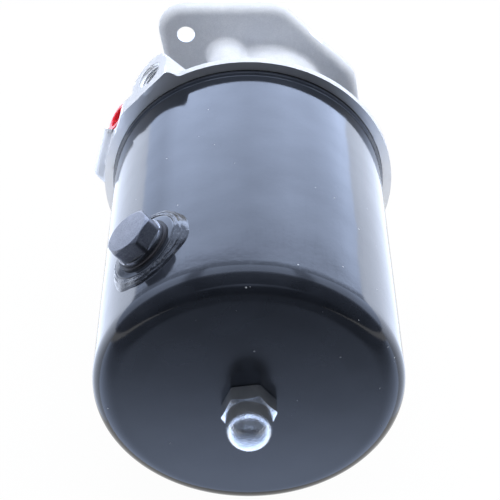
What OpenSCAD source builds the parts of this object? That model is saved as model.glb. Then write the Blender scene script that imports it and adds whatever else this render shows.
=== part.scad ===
// Tractor power-steering pump with its own oil tank.
// Everything is drawn in a bench frame: the drive shaft's axis is Z, the mounting face is
// Z = 0, the tank stands up to +Z and the drive shaft hangs below. laid() turns it so that
// the part lies with the tank towards -Y and its drive end towards +Y.

/* [Oil tank] */
// Outer diameter of the tank
tank_d = 120.7; // [112:0.1:130]
// Length of the tank, from the casting's face to its closed end
tank_len = 139; // [130:0.5:160]
// Wall of the drawn steel tank
tank_wall = 1.6; // [1:0.1:2.5]
// Outside radius between the tank's side and its end
tank_corner_r = 9; // [5:0.5:14]
// How far the rolled bead at the tank's mouth stands out
bead_proud = 0.9; // [0.3:0.1:1.6]
// Height of the rolled bead
bead_h = 2.2; // [1:0.2:4]
// Distance from the drive shaft's axis to the tank's axis
tank_offset = 9; // [6:0.5:12]

/* [Casting] */
// Distance from the mounting face to the tank's seat
casting_h = 78.1; // [76:0.1:90]
// How far the casting's ring stands out from the tank
ring_proud = 4.9; // [3.5:0.1:8]
// Thickness of the ring's rim
rim_t = 4; // [3:0.2:6]
// Thickness of the casting's floor under the tank
floor_t = 9; // [8:0.5:12]
// Outer diameter of the barrel
barrel_d = 59.2; // [57:0.2:66]
// Radius that blends the barrel into the floor
barrel_blend_r = 16; // [8:0.5:20]
// Thickness of the mounting flange
flange_t = 5.6; // [4.6:0.2:10]
// Diameter of the pilot spigot
pilot_d = 56; // [54:0.5:60]
// Height of the pilot spigot
pilot_h = 7; // [5:0.5:10]
// Diameter of the bolt circle of the mounting flange
bolt_pcd = 105.2; // [100:0.2:114]
// Direction of the upper mounting bolt, from the X axis
bolt_angle = 137.2; // [132:0.2:146]
// Diameter of the mounting holes
bolt_hole_d = 8.4; // [6.6:0.2:11]
// Radius of the flange's ears around the mounting holes
ear_r = 12.9; // [10:0.1:15]
// Distance from the shaft's axis to the flange's slanted flats
flat_dist = 40.1; // [38.6:0.1:43]
// Distance from the shaft's axis to the flange's long edges
flange_half_h = 50; // [47:0.2:54]
// Half width of the flange at the shaft's height
flange_half_w = 45.8; // [43:0.1:50]
// Wire diameter of the O-ring in the mounting face
pilot_ring_wire = 3; // [2:0.2:3.6]

/* [Ports] */
// Direction of the outlet port, from straight up towards the left
port_angle = 47.1; // [42:0.1:50]
// Height of the outlet port's flat above the ring
port_proud = 1.75; // [1:0.05:6]
// Distance of the port's axis from the tank's axis, sideways
port_shift = 8.3; // [6:0.1:10]
// Distance of the ports' axes from the tank's seat
port_drop = 11.4; // [10:0.1:13]
// Radius of the round pad around the outlet port
port_pad_r = 11.6; // [10:0.2:13]
// Diameter of the outlet port's threaded hole
port_hole_d = 11.4; // [9:0.2:13]
// Depth of the outlet port's threaded hole
port_hole_depth = 16; // [12:0.5:22]
// Diameter of the drilled oil ways
oilway_d = 6.5; // [4.5:0.5:7.5]
// Direction of the return port, from straight up towards the left
return_angle = 56; // [53:0.5:59]
// How far the return port's flat lies inside the ring's radius
return_sink = 1.2; // [0.6:0.1:2.5]
// Distance of the return port's axis from the tank's axis, sideways
return_shift = -8.2; // [-9:0.1:-6]
// Radius of the round pad around the return port
return_pad_r = 8.8; // [7.5:0.1:10]
// Diameter of the return port's hole
return_hole_d = 11.4; // [9:0.2:13]
// Depth of the return port's hole
return_hole_depth = 20; // [17:0.5:24]
// Direction of the side lug's flat, from straight up towards the left
lug_angle = 75; // [73:0.5:78]
// Height of the side lug's flat above the ring
lug_proud = 3.6; // [2.4:0.1:6]
// Distance from the tank's seat to the near side of the lug
lug_drop = 3.4; // [2:0.2:6]
// Depth of the side lug
lug_depth = 8; // [5:0.5:14]

/* [Drive shaft] */
// Diameter of the shaft's drive end
drive_d = 17; // [15:0.5:19]
// Length of the drive end between its shoulders
drive_len = 30; // [24:1:44]
// Diameter of the thread at the end of the shaft
shaft_thread_d = 14; // [12:0.5:14]
// Length of the thread at the end of the shaft
shaft_thread_len = 17; // [15:0.5:22]
// Distance from the mounting face down to the drive end's inner shoulder
drive_drop = 3.5; // [1.5:0.5:6]
// Diameter of the shaft in its bushes and in the gear
shaft_inner_d = 15; // [13:0.5:17]
// Width of the drive key
key_w = 5; // [4:0.5:6]
// Length of the drive key
key_len = 18; // [12:1:21]
// Thickness of the shaft's lock washer
washer_t = 2.7; // [1.5:0.1:3.2]
// Height of the shaft's nut
shaft_nut_h = 11; // [8:0.5:11]
// Width of the shaft's nut across its flats
shaft_nut_af = 21; // [20:0.5:24]

/* [Bearing and seal] */
// Bore of the ball bearing
bearing_bore = 20; // [20:0.5:21]
// Outer diameter of the ball bearing
bearing_od = 47; // [46:0.5:49]
// Width of the ball bearing
bearing_w = 14; // [13:0.5:16]
// Distance from the mounting face to the bearing
bearing_drop = 4; // [3:0.5:6]
// Number of balls
ball_count = 8; // [6:1:9]
// Diameter of a ball
ball_d = 7.6; // [7:0.1:7.9]
// Thickness of the bearing's circlip
circlip_t = 1.7; // [1:0.1:2.2]
// Outer diameter of the shaft's oil seal
seal_od = 40; // [36:0.5:42]
// Width of the shaft's oil seal
seal_w = 7; // [6:0.5:9]

/* [Gear pump] */
// Number of teeth of each gear
teeth = 12; // [11:1:13]
// Module of the gears
tooth_module = 2.2; // [2.1:0.05:2.3]
// Width of the gear chamber
chamber_w = 18; // [14:0.5:22]
// Direction of the driven gear from the shaft
gear_angle = -120; // [-125:1:-112]
// Gap between the gears' tips and their chamber
tip_gap = 0.3; // [0.2:0.05:0.5]
// Gap between the gears' ends and the chamber's ends
end_gap = 0.1; // [0.05:0.01:0.2]
// Diameter of the driven gear's shaft
idler_d = 13; // [11:0.5:14]
// Wall of the bushes
bush_wall = 2.5; // [2:0.1:3]
// Length of the bushes in the rear cover
rear_bush_len = 15; // [11:0.5:16]
// Length of the bushes in the casting
front_bush_len = 17; // [13:0.5:19]
// Thickness of the rear cover
cover_t = 18; // [16.5:0.5:24]
// Diameter of the pump's screws
screw_d = 6; // [5:0.5:7]
// How deep the pump's screws reach into the casting
screw_bite = 12; // [9:0.5:14]

/* [Flow valve] */
// Distance of the valve's axis to the left of the shaft's axis
valve_x = 18.5; // [17.5:0.1:19.5]
// Distance of the valve's axis above the shaft's axis
valve_y = 23.5; // [22.5:0.1:26]
// Diameter of the valve's bore
valve_bore_d = 14; // [12:0.5:14.5]
// Outer radius of the valve's boss
valve_boss_r = 10; // [9.5:0.1:12]
// Length of the spool
spool_len = 27; // [22:0.5:29]
// Travel of the spool
spool_travel = 4.5; // [2:0.5:6]
// Length of the spool's spring when it is pressed to the end of that travel
spring_block_len = 11; // [9:0.5:12]
// Length of the threaded part of the valve's plug
valve_plug_len = 6; // [5:0.5:6.5]

/* [Filter] */
// Outer diameter of the filter
filter_d = 84; // [72:1:92]
// Length of the filter between its end caps
filter_len = 64; // [52:1:68]
// Number of pleats
pleats = 24; // [16:1:32]
// Outer diameter of the filter's perforated core
core_d = 32; // [29:0.5:35]
// Wire diameter of the filter's spring
filter_wire_d = 2.5; // [1.8:0.1:3]

/* [Filler] */
// Direction of the filler plug, from straight up towards the left
filler_angle = 40; // [30:1:50]
// Distance of the filler plug's axis from the tank's seat
filler_drop = 102.8; // [90:0.2:108]
// Height of the welded boss above the tank, on its centre line
boss_h = 1.5; // [1:0.1:4]
// Diameter of the welded boss
boss_d = 30.2; // [28:0.2:34]
// Width of the weld around the boss
weld_w = 4.5; // [2:0.5:5.5]
// Width of the filler plug's hexagon across its flats
plug_af = 19; // [18:0.5:21]
// Height of the filler plug's hexagon
plug_hex_h = 7.8; // [6:0.2:11]
// Diameter of the filler plug's thread
plug_thread_d = 16; // [13:0.5:17]
// Length of the filler plug's thread
plug_thread_len = 10; // [8:0.5:11]
// Thickness of the filler plug's sealing washer
plug_washer_t = 0.9; // [0.5:0.1:1.2]

/* [Stud and cap nut] */
// Diameter of the tank's stud
stud_d = 12; // [10:0.5:12.5]
// Width of the cap nut across its flats
nut_af = 19; // [18.5:0.5:21]
// Height of the cap nut's hexagon
nut_hex_h = 7.6; // [6:0.1:10]
// Height of the centre of the cap nut's dome
dome_centre_h = 12.4; // [10:0.1:14]
// Diameter of the cap nut's dome
dome_d = 17.9; // [17:0.1:18.4]
// Direction of the cap nut's first corner
nut_turn = 8.2; // [0:0.1:59]

/* [Shipping plug] */
// Diameter of the red plug's head
transit_head_d = 14.1; // [13.2:0.1:16]
// Height of the red plug's head
transit_head_h = 1.4; // [1:0.1:3]
// Length of the red plug's stem
transit_stem_len = 10; // [7:0.5:13]

/* [Hidden] */
$fn = 96;

// Clearances
seat_gap = 0.02;      // between pieces that are fixed together, on a radius
run_gap = 0.04;       // between a shaft or spool and its bore, on a radius
free_gap = 0.2;       // between a screw or stud and the hole that it passes through
weld_gap = 0.05;      // between the weld's bead and the tank, on a radius
join = 1;             // how far shapes of one casting run into each other

// Tank and casting
tank_r = tank_d / 2;
ring_r = tank_r + ring_proud;
tank_x = -tank_offset;
tank_top = casting_h + tank_len;
barrel_r = barrel_d / 2;
pilot_r = pilot_d / 2;
groove_wall = 2.7;                                 // metal between spigot and O-ring groove
ring_groove_w = pilot_ring_wire * 1.1;
ring_groove_depth = pilot_ring_wire * 0.8;
pilot_ring_r = pilot_r + groove_wall + ring_groove_w / 2;
tank_seal_t = 2;
tank_seal_lip = 1;                                 // seal wider than the tank's wall, each side
inner_floor_r = ring_r - 9;                        // where the thick floor ends
step_slope = 4;                                    // radial width of the slope to the rim

// Flange outline, from its two ears and four sides
ear = bolt_pcd / 2 * [-cos(bolt_angle), -sin(bolt_angle)];
side_foot = [flange_half_w, 0];
to_ear = ear - side_foot;
side_dir = atan2(to_ear.y, to_ear.x) + asin(ear_r / norm(to_ear));
flat_foot = flat_dist * [cos(45), sin(45)];
half_flange = [
    meet([0, flange_half_h], 0, flat_foot, -45),
    meet(flat_foot, -45, side_foot, side_dir),
    meet(side_foot, side_dir, [0, -flange_half_h], 0)
];
half_radii = [16, 18, ear_r];

// Ports and lug, in planes that face away from the tank's axis
port_dist = ring_r + port_proud;
return_dist = ring_r - return_sink;
lug_dist = ring_r + lug_proud;
port_h = casting_h - port_drop;
return_h = casting_h - rim_t - transit_head_d / 2 - 0.3;    // its plug's head clears the rim
arm_r = 9.5;                                       // metal around the drilled ways
port_half = 12.4;                                  // the outlet's flat, from its axis round
block_tail = 7.5;                                  // how far that flat runs past its foot
lug_head = 10;                                     // how far the lug runs above its flat's foot
lug_tail = 15.5;                                   // and below it
port_foot = foot(port_angle, port_dist + join);    // rough cast, before the flat is machined
lug_foot = foot(lug_angle, lug_dist);
block_outline = [
    [tank_x, ring_r / 2],
    foot(port_angle - 20, ring_r - 0.5),
    port_foot + (port_shift + port_half) * along(port_angle),
    port_foot - block_tail * along(port_angle),
    foot(port_angle + 20, ring_r - 0.5),
    [tank_x - ring_r / 2, 0]
];
block_radii = [0, 4, 5, 2, 0, 0];
lug_outline = [
    [tank_x - ring_r / 2, ring_r * 0.55],
    lug_foot + lug_head * along(lug_angle),
    lug_foot - lug_tail * along(lug_angle),
    foot(lug_angle + 20, ring_r - 1),
    [tank_x - ring_r / 2, -ring_r / 8]
];
lug_radii = [0, 3, 2, 3, 0];

// Drive shaft, from its threaded end up
drive_r = drive_d / 2;
shaft_inner_r = shaft_inner_d / 2;
bearing_r = bearing_bore / 2;
drive_end = -drive_drop - drive_len;
shaft_end = drive_end - shaft_thread_len;
bearing_top = bearing_drop + bearing_w;
collar_h = 2;
seal_bottom = bearing_top + collar_h + 1.5;
seal_top = seal_bottom + seal_w;
seal_shaft_top = seal_top + 3;
collar_r = bearing_r + 2;
key_sink = key_w * 0.6;
gear_key_w = 4;
gear_key_rise = 1.6;
key_bottom = drive_end + (drive_len - key_len) / 2;

// Bearing
bearing_or = bearing_od / 2;
ball_r = ball_d / 2;
ball_pitch_r = (bearing_r + bearing_or) / 2;
track_r = ball_r + 0.17;
race_lip = ball_r * 0.69;
bearing_mid = bearing_drop + bearing_w / 2;
cage_half = ball_r + 0.9;
clip_sink = 1;

// Gear pump
pitch_r = teeth * tooth_module / 2;
addendum = 0.85 * tooth_module;
dedendum = tooth_module;
pressure_angle = 25;
backlash = 0.4;
tip_r = pitch_r + addendum;
chamber_r = tip_r + tip_gap;
gear_bottom = casting_h + end_gap;
gear_top = casting_h + chamber_w - end_gap;
gear_w = gear_top - gear_bottom;
gear_key_len = gear_w - 4;
gear_key_bottom = gear_bottom + 2;
cover_bottom = casting_h + chamber_w;
cover_top = cover_bottom + cover_t;
idler_r = idler_d / 2;
idler_at = 2 * pitch_r * [cos(gear_angle), sin(gear_angle)];
idler_boss_r = idler_r + bush_wall + 4;
shaft_top = cover_bottom + rear_bush_len - 0.5;
idler_bottom = casting_h - front_bush_len + 0.5;
screw_r = screw_d / 2;
screw_reach = chamber_r + screw_r + 2.5;
screw_ear_r = screw_r + 3.2;
screws_at = concat(
    [for (a = [25, -55]) screw_reach * [cos(gear_angle + 180 + a), sin(gear_angle + 180 + a)]],
    [for (a = [-40, 40]) idler_at + screw_reach * [cos(gear_angle + a), sin(gear_angle + a)]]
);
screw_head_r = screw_r * 1.65;
screw_head_h = screw_d;
dowel_r = 2;
dowel_len = 14;
mesh_at = idler_at / 2;
mesh_side = [-sin(gear_angle), cos(gear_angle)];
oilway_reach = 9;                                  // from the gears' mesh to each oil way
outlet_at = mesh_at - oilway_reach * mesh_side;
inlet_at = mesh_at + oilway_reach * mesh_side;
oilway_r = oilway_d / 2;
feed_h = casting_h - front_bush_len - oilway_r - 3;
dowel_reach = chamber_r + dowel_r + 1.5;

// Valve
valve_at = [-valve_x, valve_y];
valve_r = valve_bore_d / 2;
valve_plug_r = valve_r + 0.7;
valve_bottom = 18;                                 // closed end of the valve's bore
spool_bottom = valve_bottom + spring_block_len + spool_travel;
spool_top = spool_bottom + spool_len;
nose_r = 2.5;
port_valve_reach = -(valve_at - [tank_x, 0]) * [sin(port_angle), -cos(port_angle)];
return_turn = foot(return_angle, return_dist - return_hole_depth + oilway_r + 1)
    + return_shift * along(return_angle);

// Filter stack on the rear cover
step_r = 15.5;
step_top = cover_top + screw_head_h + 2;
neck_r = 11;
neck_top = step_top + 9;
stud_r = stud_d / 2;
stud_bottom = cover_top + 3;
cap_t = 1;
filter_bottom = step_top + cap_t;
filter_top = filter_bottom + filter_len;
filter_r = filter_d / 2;
pleat_in_r = core_d / 2 + 4;
pleat_t = 3;
core_r = core_d / 2;
spring_r = core_r - 2;
seat_t = 1.2;
seat_top = tank_top - tank_wall;
wire_r = filter_wire_d / 2;

// Filler
boss_r = boss_d / 2;
boss_top = tank_r + boss_h;
boss_spigot_r = boss_r - 3.5;
plug_r = plug_thread_d / 2;
plug_flange_r = plug_af * 0.64;
plug_flange_h = 1;
plug_turn = -4;                                    // direction of the hexagon's first corner
plug_seat = boss_top + plug_washer_t;
filler_h = casting_h + filler_drop;

// Cap nut
nut_recess_r = stud_r + 2.2;
nut_ring_r = (nut_recess_r + stud_r) / 2;
nut_ring_wire = (nut_recess_r - stud_r) / 2 - 0.2;  // radius of the sealing ring's wire
nut_recess_h = 2 * nut_ring_wire + 0.1;
nut_hole_h = dome_centre_h + 2.5;
stud_top = tank_top + nut_hole_h - 1.5;

// Unit vectors around the tank, from straight up towards the left
function left_up(a) = [-sin(a), cos(a)];
function along(a) = [cos(a), sin(a)];

// Foot of a flat that faces direction a at distance d from the tank's axis
function foot(a, d) = [tank_x, 0] + d * left_up(a);

// Where the line through p in direction a meets the line through q in direction b
function meet(p, a, q, b) =
    let (u = [cos(a), sin(a)], v = [cos(b), sin(b)], w = q - p)
    p + u * (w.x * v.y - w.y * v.x) / (u.x * v.y - u.y * v.x);

// The arc that rounds the corner p1 between p0 and p2 with radius r
function corner(p0, p1, p2, r, steps = 8) =
    r == 0 ? [p1] :
    let (
        u = (p0 - p1) / norm(p0 - p1),
        v = (p2 - p1) / norm(p2 - p1),
        half = acos(u * v) / 2,
        centre = p1 + (u + v) / norm(u + v) * r / sin(half),
        from = p1 + u * r / tan(half) - centre,
        to = p1 + v * r / tan(half) - centre,
        a = atan2(from.y, from.x),
        turn = atan2(from.x * to.y - from.y * to.x, from * to)
    )
    [for (i = [0:steps]) centre + r * [cos(a + turn * i / steps), sin(a + turn * i / steps)]];

// An outline with each corner rounded by its own radius
function rounded(points, radii) =
    let (n = len(points))
    [for (i = [0:n - 1])
        for (p = corner(points[(i + n - 1) % n], points[i], points[(i + 1) % n], radii[i])) p];

// One flank point of an involute tooth at radius r, turned back by the half tooth
function involute_angle(r, base) =
    let (t = sqrt(max(0, r * r / (base * base) - 1))) t * 180 / PI - atan(t);
function half_tooth(r, base) =
    90 / teeth - backlash / (4 * pitch_r) * 180 / PI
    + involute_angle(pitch_r, base) - involute_angle(max(r, base), base);

// Outline of a spur gear with a tooth on the X axis
function gear_outline() =
    let (
        base = pitch_r * cos(pressure_angle),
        root = pitch_r - dedendum,
        radii = concat([root], [for (i = [0:5]) base + (tip_r - base) * i / 5])
    )
    [for (k = [0:teeth - 1]) let (mid = k * 360 / teeth)
        for (side = [-1, 1]) let (order = side < 0 ? [0:6] : [6:-1:0])
            for (i = order) let (r = radii[i], a = mid + side * half_tooth(r, base))
                r * [cos(a), sin(a)]];

// Outline of the pleated paper, at its outer or its inner face
function pleat_outline(outer_r, inner_r) =
    [for (i = [0:2 * pleats - 1]) let (r = i % 2 == 0 ? outer_r : inner_r, a = i * 180 / pleats)
        r * [cos(a), sin(a)]];

// Lays the bench frame down: up becomes towards -Y
module laid() rotate([90, 0, 0]) children();
module on_tank_axis() translate([tank_x, 0, 0]) children();
module on_idler_axis() translate([idler_at.x, idler_at.y, 0]) children();
module on_valve_axis() translate([valve_at.x, valve_at.y, 0]) children();

// Z points out of the tank's side, X runs around it and Y points to the mounting face
module on_side(angle, height)
    translate([tank_x, 0, height]) rotate([0, 0, angle]) rotate([-90, 0, 0]) children();

module rod(r, from, to) translate([0, 0, from]) cylinder(r = r, h = to - from);
module tube(r, bore, from, to) difference() {
    rod(r, from, to);
    rod(bore, from - join, to + join);
}
module hexagon(af, from, to) translate([0, 0, from])
    cylinder(r = af / 2 / cos(30), h = to - from, $fn = 6);
// A hexagon whose upper corners are turned off to a cone
module chamfered_hexagon(af, from, to) intersection() {
    hexagon(af, from, to);
    translate([0, 0, from])
        cylinder(r1 = af * 0.48 + (to - from) * tan(60), r2 = af * 0.48, h = to - from);
}
module helix(mean_r, wire, from, to, turns, steps = 14, sides = 7) {
    count = turns * steps;
    pitch = (to - from) / count;
    points = [for (i = [0:count]) for (j = [0:sides - 1])
        let (a = i * 360 / steps, b = j * 360 / sides, r = mean_r + wire * cos(b))
        [r * cos(a), r * sin(a), from + i * pitch + wire * sin(b)]];
    rings = [for (i = [0:count - 1]) for (j = [0:sides - 1])
        let (a = i * sides + j, b = i * sides + (j + 1) % sides)
        [a, a + sides, b + sides, b]];
    ends = [[for (j = [0:sides - 1]) j], [for (j = [sides - 1:-1:0]) count * sides + j]];
    polyhedron(points, concat(rings, ends));
}

// ---- The casting -------------------------------------------------------------------

module mounting_flange() linear_extrude(flange_t)
    polygon(rounded(concat(half_flange, [for (p = half_flange) -p]),
        concat(half_radii, half_radii)));

// The barrel's side, with the arc that runs into the floor
module barrel() rotate_extrude() polygon(concat(
    [[0, 1], [barrel_r, 1]],
    [for (a = [0:6:90])
        [barrel_r + barrel_blend_r * (1 - cos(a)),
         casting_h - floor_t + join - barrel_blend_r * (1 - sin(a))]],
    [[0, casting_h - floor_t + join]]
));

// The round floor that closes the tank, thinner at its rim
module tank_floor() on_tank_axis() rotate_extrude() polygon([
    [0, casting_h - floor_t], [inner_floor_r, casting_h - floor_t],
    [inner_floor_r + step_slope, casting_h - rim_t], [ring_r, casting_h - rim_t],
    [ring_r, casting_h + join], [0, casting_h + join]
]);

// What is machined away to make the tank's seat
module above_seat() translate([-2 * ring_r, -2 * ring_r, casting_h])
    cube([4 * ring_r, 4 * ring_r, port_pad_r]);

// What is machined away to make the outlet port's flat
module beyond_outlet_flat() on_side(port_angle, port_h)
    translate([port_shift - 2 * port_pad_r, -2 * port_pad_r, port_dist])
    cube([4 * port_pad_r, 4 * port_pad_r, port_pad_r]);

module port_block() {
    translate([0, 0, casting_h - floor_t]) linear_extrude(floor_t + join)
        polygon(rounded(block_outline, block_radii));
    translate([0, 0, casting_h - lug_drop - lug_depth]) linear_extrude(lug_depth)
        polygon(rounded(lug_outline, lug_radii));
    on_side(port_angle, port_h) translate([port_shift, 0, 0])
        rod(port_pad_r, ring_r / 2, port_dist + join);
    on_side(return_angle, return_h) translate([return_shift, 0, 0])
        rod(return_pad_r, ring_r / 2, return_dist);
}

// Metal around the drilled way from the outlet port to the valve
module port_arm() on_side(port_angle, port_h) translate([port_shift, 0, 0])
    rod(arm_r, ring_r / 3, ring_r - 2);

module pump_body() color([0.79, 0.8, 0.83]) laid() difference() {
    union() {
        mounting_flange();
        rod(pilot_r, -pilot_h, join);
        barrel();
        tank_floor();
        port_block();
        port_arm();
        on_valve_axis() rod(valve_boss_r, 2, casting_h - 2);
        on_idler_axis() rod(idler_boss_r, idler_bottom - 5, casting_h - 2);
        for (p = screws_at) translate([p.x, p.y, 0])
            rod(screw_ear_r, casting_h - screw_bite - 3, casting_h - 2);
    }
    above_seat();
    beyond_outlet_flat();
    // Mounting holes and the O-ring's groove
    for (side = [-1, 1]) translate([side * ear.x, side * ear.y, 0])
        rod(bolt_hole_d / 2, -join, flange_t + join);
    tube(pilot_r + groove_wall + ring_groove_w, pilot_r + groove_wall, -join, ring_groove_depth);
    // Bearing seat with its circlip's groove, oil seal's seat, shaft way and bush seat
    rod(bearing_or + seat_gap, -pilot_h - join, bearing_top);
    rod(bearing_or + clip_sink, bearing_drop - circlip_t - 0.1, bearing_drop);
    rod(seal_od / 2 + seat_gap, bearing_top - join, seal_top);
    rod(shaft_inner_r + bush_wall + 2, seal_top - join, casting_h - front_bush_len);
    rod(shaft_inner_r + bush_wall + seat_gap, casting_h - front_bush_len - join,
        casting_h + join);
    on_idler_axis() rod(idler_r + bush_wall + seat_gap, casting_h - front_bush_len,
        casting_h + join);
    // Screw and dowel holes for the gear pump
    for (p = screws_at) translate([p.x, p.y, 0])
        rod(screw_r + seat_gap, casting_h - screw_bite - 1, casting_h + join);
    dowel_places() rod(dowel_r + seat_gap, casting_h - dowel_len / 2 - 0.5, casting_h + join);
    // Valve bore, wider where its plug is screwed in
    on_valve_axis() {
        rod(valve_r, valve_bottom, casting_h + join);
        rod(valve_plug_r + seat_gap, casting_h - valve_plug_len - 0.1, casting_h + join);
    }
    // Oil from the gears to the valve, and from the valve to the outlet port
    translate([outlet_at.x, outlet_at.y, 0]) rod(oilway_r, feed_h - oilway_r, casting_h + join);
    feed_way();
    on_side(port_angle, port_h) translate([port_shift, 0, 0]) {
        rod(port_hole_d / 2, port_dist - port_hole_depth, port_dist + join);
        rod(oilway_r, port_valve_reach, port_dist);
    }
    // Return port with its spot face, which turns up into the tank
    on_side(return_angle, return_h) translate([return_shift, 0, 0]) {
        rod(return_hole_d / 2, return_dist - return_hole_depth, return_dist + join);
        rod(transit_head_d / 2 + 0.4, return_dist, return_dist + return_pad_r);
    }
    translate([return_turn.x, return_turn.y, 0])
        rod(oilway_r, return_h, casting_h + join);
    // Seat of the tank's sealing ring
    on_tank_axis() tube(tank_r + tank_seal_lip + seat_gap,
        tank_r - tank_wall - tank_seal_lip - seat_gap, casting_h - tank_seal_t,
        casting_h + join);
}

// The drilled way from under the gears' outlet to the valve's bore
module feed_way() translate([outlet_at.x, outlet_at.y, feed_h])
    rotate([0, 0, atan2(valve_at.y - outlet_at.y, valve_at.x - outlet_at.x)])
    rotate([0, 90, 0]) rod(oilway_r - 0.5, 0, norm(valve_at - outlet_at));

module dowel_places() for (s = [-1, 1]) let (at = mesh_at + s * dowel_reach * mesh_side)
    translate([at.x, at.y, 0]) children();

module pilot_o_ring() color([0.08, 0.08, 0.09]) laid() rotate_extrude()
    translate([pilot_ring_r, ring_groove_depth - pilot_ring_wire / 2])
    circle(d = pilot_ring_wire, $fn = 40);

// ---- Drive shaft -------------------------------------------------------------------

module drive_shaft() color([0.55, 0.56, 0.58]) laid() difference() {
    union() {
        rod(shaft_thread_d / 2, shaft_end + 1, drive_end + join);
        translate([0, 0, shaft_end])
            cylinder(r1 = shaft_thread_d / 2 - 1, r2 = shaft_thread_d / 2, h = 1);
        rod(drive_r, drive_end, -drive_drop + join);
        rod(bearing_r - seat_gap, -drive_drop, seal_shaft_top);
        rod(collar_r, bearing_top, bearing_top + collar_h);
        rod(shaft_inner_r, seal_shaft_top - join, shaft_top);
    }
    translate([drive_r - key_sink, -key_w / 2, key_bottom]) cube([key_w, key_w, key_len]);
    rotate([0, 0, gear_angle])
        translate([shaft_inner_r - gear_key_w + gear_key_rise, -gear_key_w / 2, gear_key_bottom])
        cube([gear_key_w, gear_key_w, gear_key_len]);
}

module shaft_key() color([0.45, 0.45, 0.47]) laid()
    translate([drive_r - key_sink, -key_w / 2 + seat_gap, key_bottom + seat_gap])
    cube([key_w, key_w - 2 * seat_gap, key_len - 2 * seat_gap]);

module shaft_nut() color([0.75, 0.76, 0.78]) laid() difference() {
    chamfered_hexagon(shaft_nut_af, drive_end - washer_t - shaft_nut_h, drive_end - washer_t);
    rod(shaft_thread_d / 2 + seat_gap, shaft_end - join, drive_end);
}

// A split washer, cut through on one side
module shaft_lock_washer() color([0.6, 0.61, 0.63]) laid() difference() {
    tube(shaft_thread_d / 2 + 3.6, shaft_thread_d / 2 + 0.1, drive_end - washer_t, drive_end);
    rotate([0, 0, 100]) translate([0, -0.6, drive_end - washer_t - join])
        cube([shaft_thread_d, 1.2, washer_t + 2 * join]);
}

// ---- Bearing and seal --------------------------------------------------------------

module bearing_race(inside, outside) rotate_extrude() difference() {
    translate([inside, bearing_drop]) square([outside - inside, bearing_w]);
    translate([ball_pitch_r, bearing_mid]) circle(r = track_r);
}
module bearing_inner_ring() color([0.72, 0.73, 0.75]) laid()
    bearing_race(bearing_r, ball_pitch_r - race_lip);
module bearing_outer_ring() color([0.72, 0.73, 0.75]) laid()
    bearing_race(ball_pitch_r + race_lip, bearing_or);
module ball_places() for (k = [0:ball_count - 1]) rotate([0, 0, k * 360 / ball_count])
    translate([ball_pitch_r, 0, bearing_mid]) children();
module bearing_balls() color([0.85, 0.86, 0.88]) laid() ball_places() sphere(r = ball_r);
module bearing_cage() color([0.7, 0.55, 0.3]) laid() difference() {
    tube(ball_pitch_r + 1, ball_pitch_r - 1, bearing_mid - cage_half, bearing_mid + cage_half);
    ball_places() rotate([0, 90, 0]) rod(ball_r + 0.08, -2, 2);
}

// An open ring with two eyes for the pliers
module bearing_circlip() color([0.35, 0.35, 0.37]) laid()
    translate([0, 0, bearing_drop - circlip_t]) difference() {
        union() {
            difference() {
                tube(bearing_or + clip_sink - 0.1, bearing_or - 1.6, 0, circlip_t);
                rotate([0, 0, -12]) translate([0, 0, -join])
                    cube([bearing_od, bearing_od * 0.21, circlip_t + 2 * join]);
            }
            for (a = [-14, 14]) rotate([0, 0, a]) translate([bearing_or - 2.6, 0, 0])
                cylinder(r = 2.2, h = circlip_t);
        }
        for (a = [-14, 14]) rotate([0, 0, a]) translate([bearing_or - 2.8, 0, -join])
            cylinder(r = 0.9, h = circlip_t + 2 * join);
    }

// Outer case, web and the lip that rides on the shaft
module shaft_oil_seal() color([0.1, 0.1, 0.11]) laid() rotate_extrude() polygon([
    [seal_od / 2, seal_bottom], [seal_od / 2, seal_top - 0.1], [bearing_r + 3, seal_top - 0.1],
    [bearing_r + 3, seal_top - 1.6], [seal_od / 2 - 2, seal_top - 1.6],
    [seal_od / 2 - 2, seal_bottom + 2], [bearing_r + 3.4, seal_bottom + 2],
    [bearing_r + 2.4, seal_bottom + 4.4], [bearing_r + run_gap + 0.5, seal_bottom + 4.4],
    [bearing_r + run_gap, seal_bottom + 3.6], [bearing_r + 1.4, seal_bottom]
]);

module front_shaft_bush() color([0.72, 0.55, 0.32]) laid()
    tube(shaft_inner_r + bush_wall, shaft_inner_r + run_gap,
        casting_h - front_bush_len, casting_h);
module rear_shaft_bush() color([0.72, 0.55, 0.32]) laid()
    tube(shaft_inner_r + bush_wall, shaft_inner_r + run_gap, cover_bottom,
        cover_bottom + rear_bush_len);
module front_idler_bush() color([0.72, 0.55, 0.32]) laid() on_idler_axis()
    tube(idler_r + bush_wall, idler_r + run_gap, casting_h - front_bush_len, casting_h);
module rear_idler_bush() color([0.72, 0.55, 0.32]) laid() on_idler_axis()
    tube(idler_r + bush_wall, idler_r + run_gap, cover_bottom, cover_bottom + rear_bush_len);

// ---- Gear pump ---------------------------------------------------------------------

module pump_outline(height) linear_extrude(height) hull() {
    for (p = screws_at) translate(p) circle(r = screw_ear_r, $fn = 32);
    circle(r = chamber_r + 3, $fn = 48);
    translate(idler_at) circle(r = chamber_r + 3, $fn = 48);
}

module gear_housing() color([0.6, 0.61, 0.62]) laid() difference() {
    translate([0, 0, casting_h]) pump_outline(chamber_w);
    rod(chamber_r, casting_h - join, cover_bottom + join);
    on_idler_axis() rod(chamber_r, casting_h - join, cover_bottom + join);
    for (p = screws_at) translate([p.x, p.y, 0])
        rod(screw_r + free_gap, casting_h - join, cover_bottom + join);
    dowel_places() rod(dowel_r + seat_gap, casting_h - join, cover_bottom + join);
}

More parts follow.
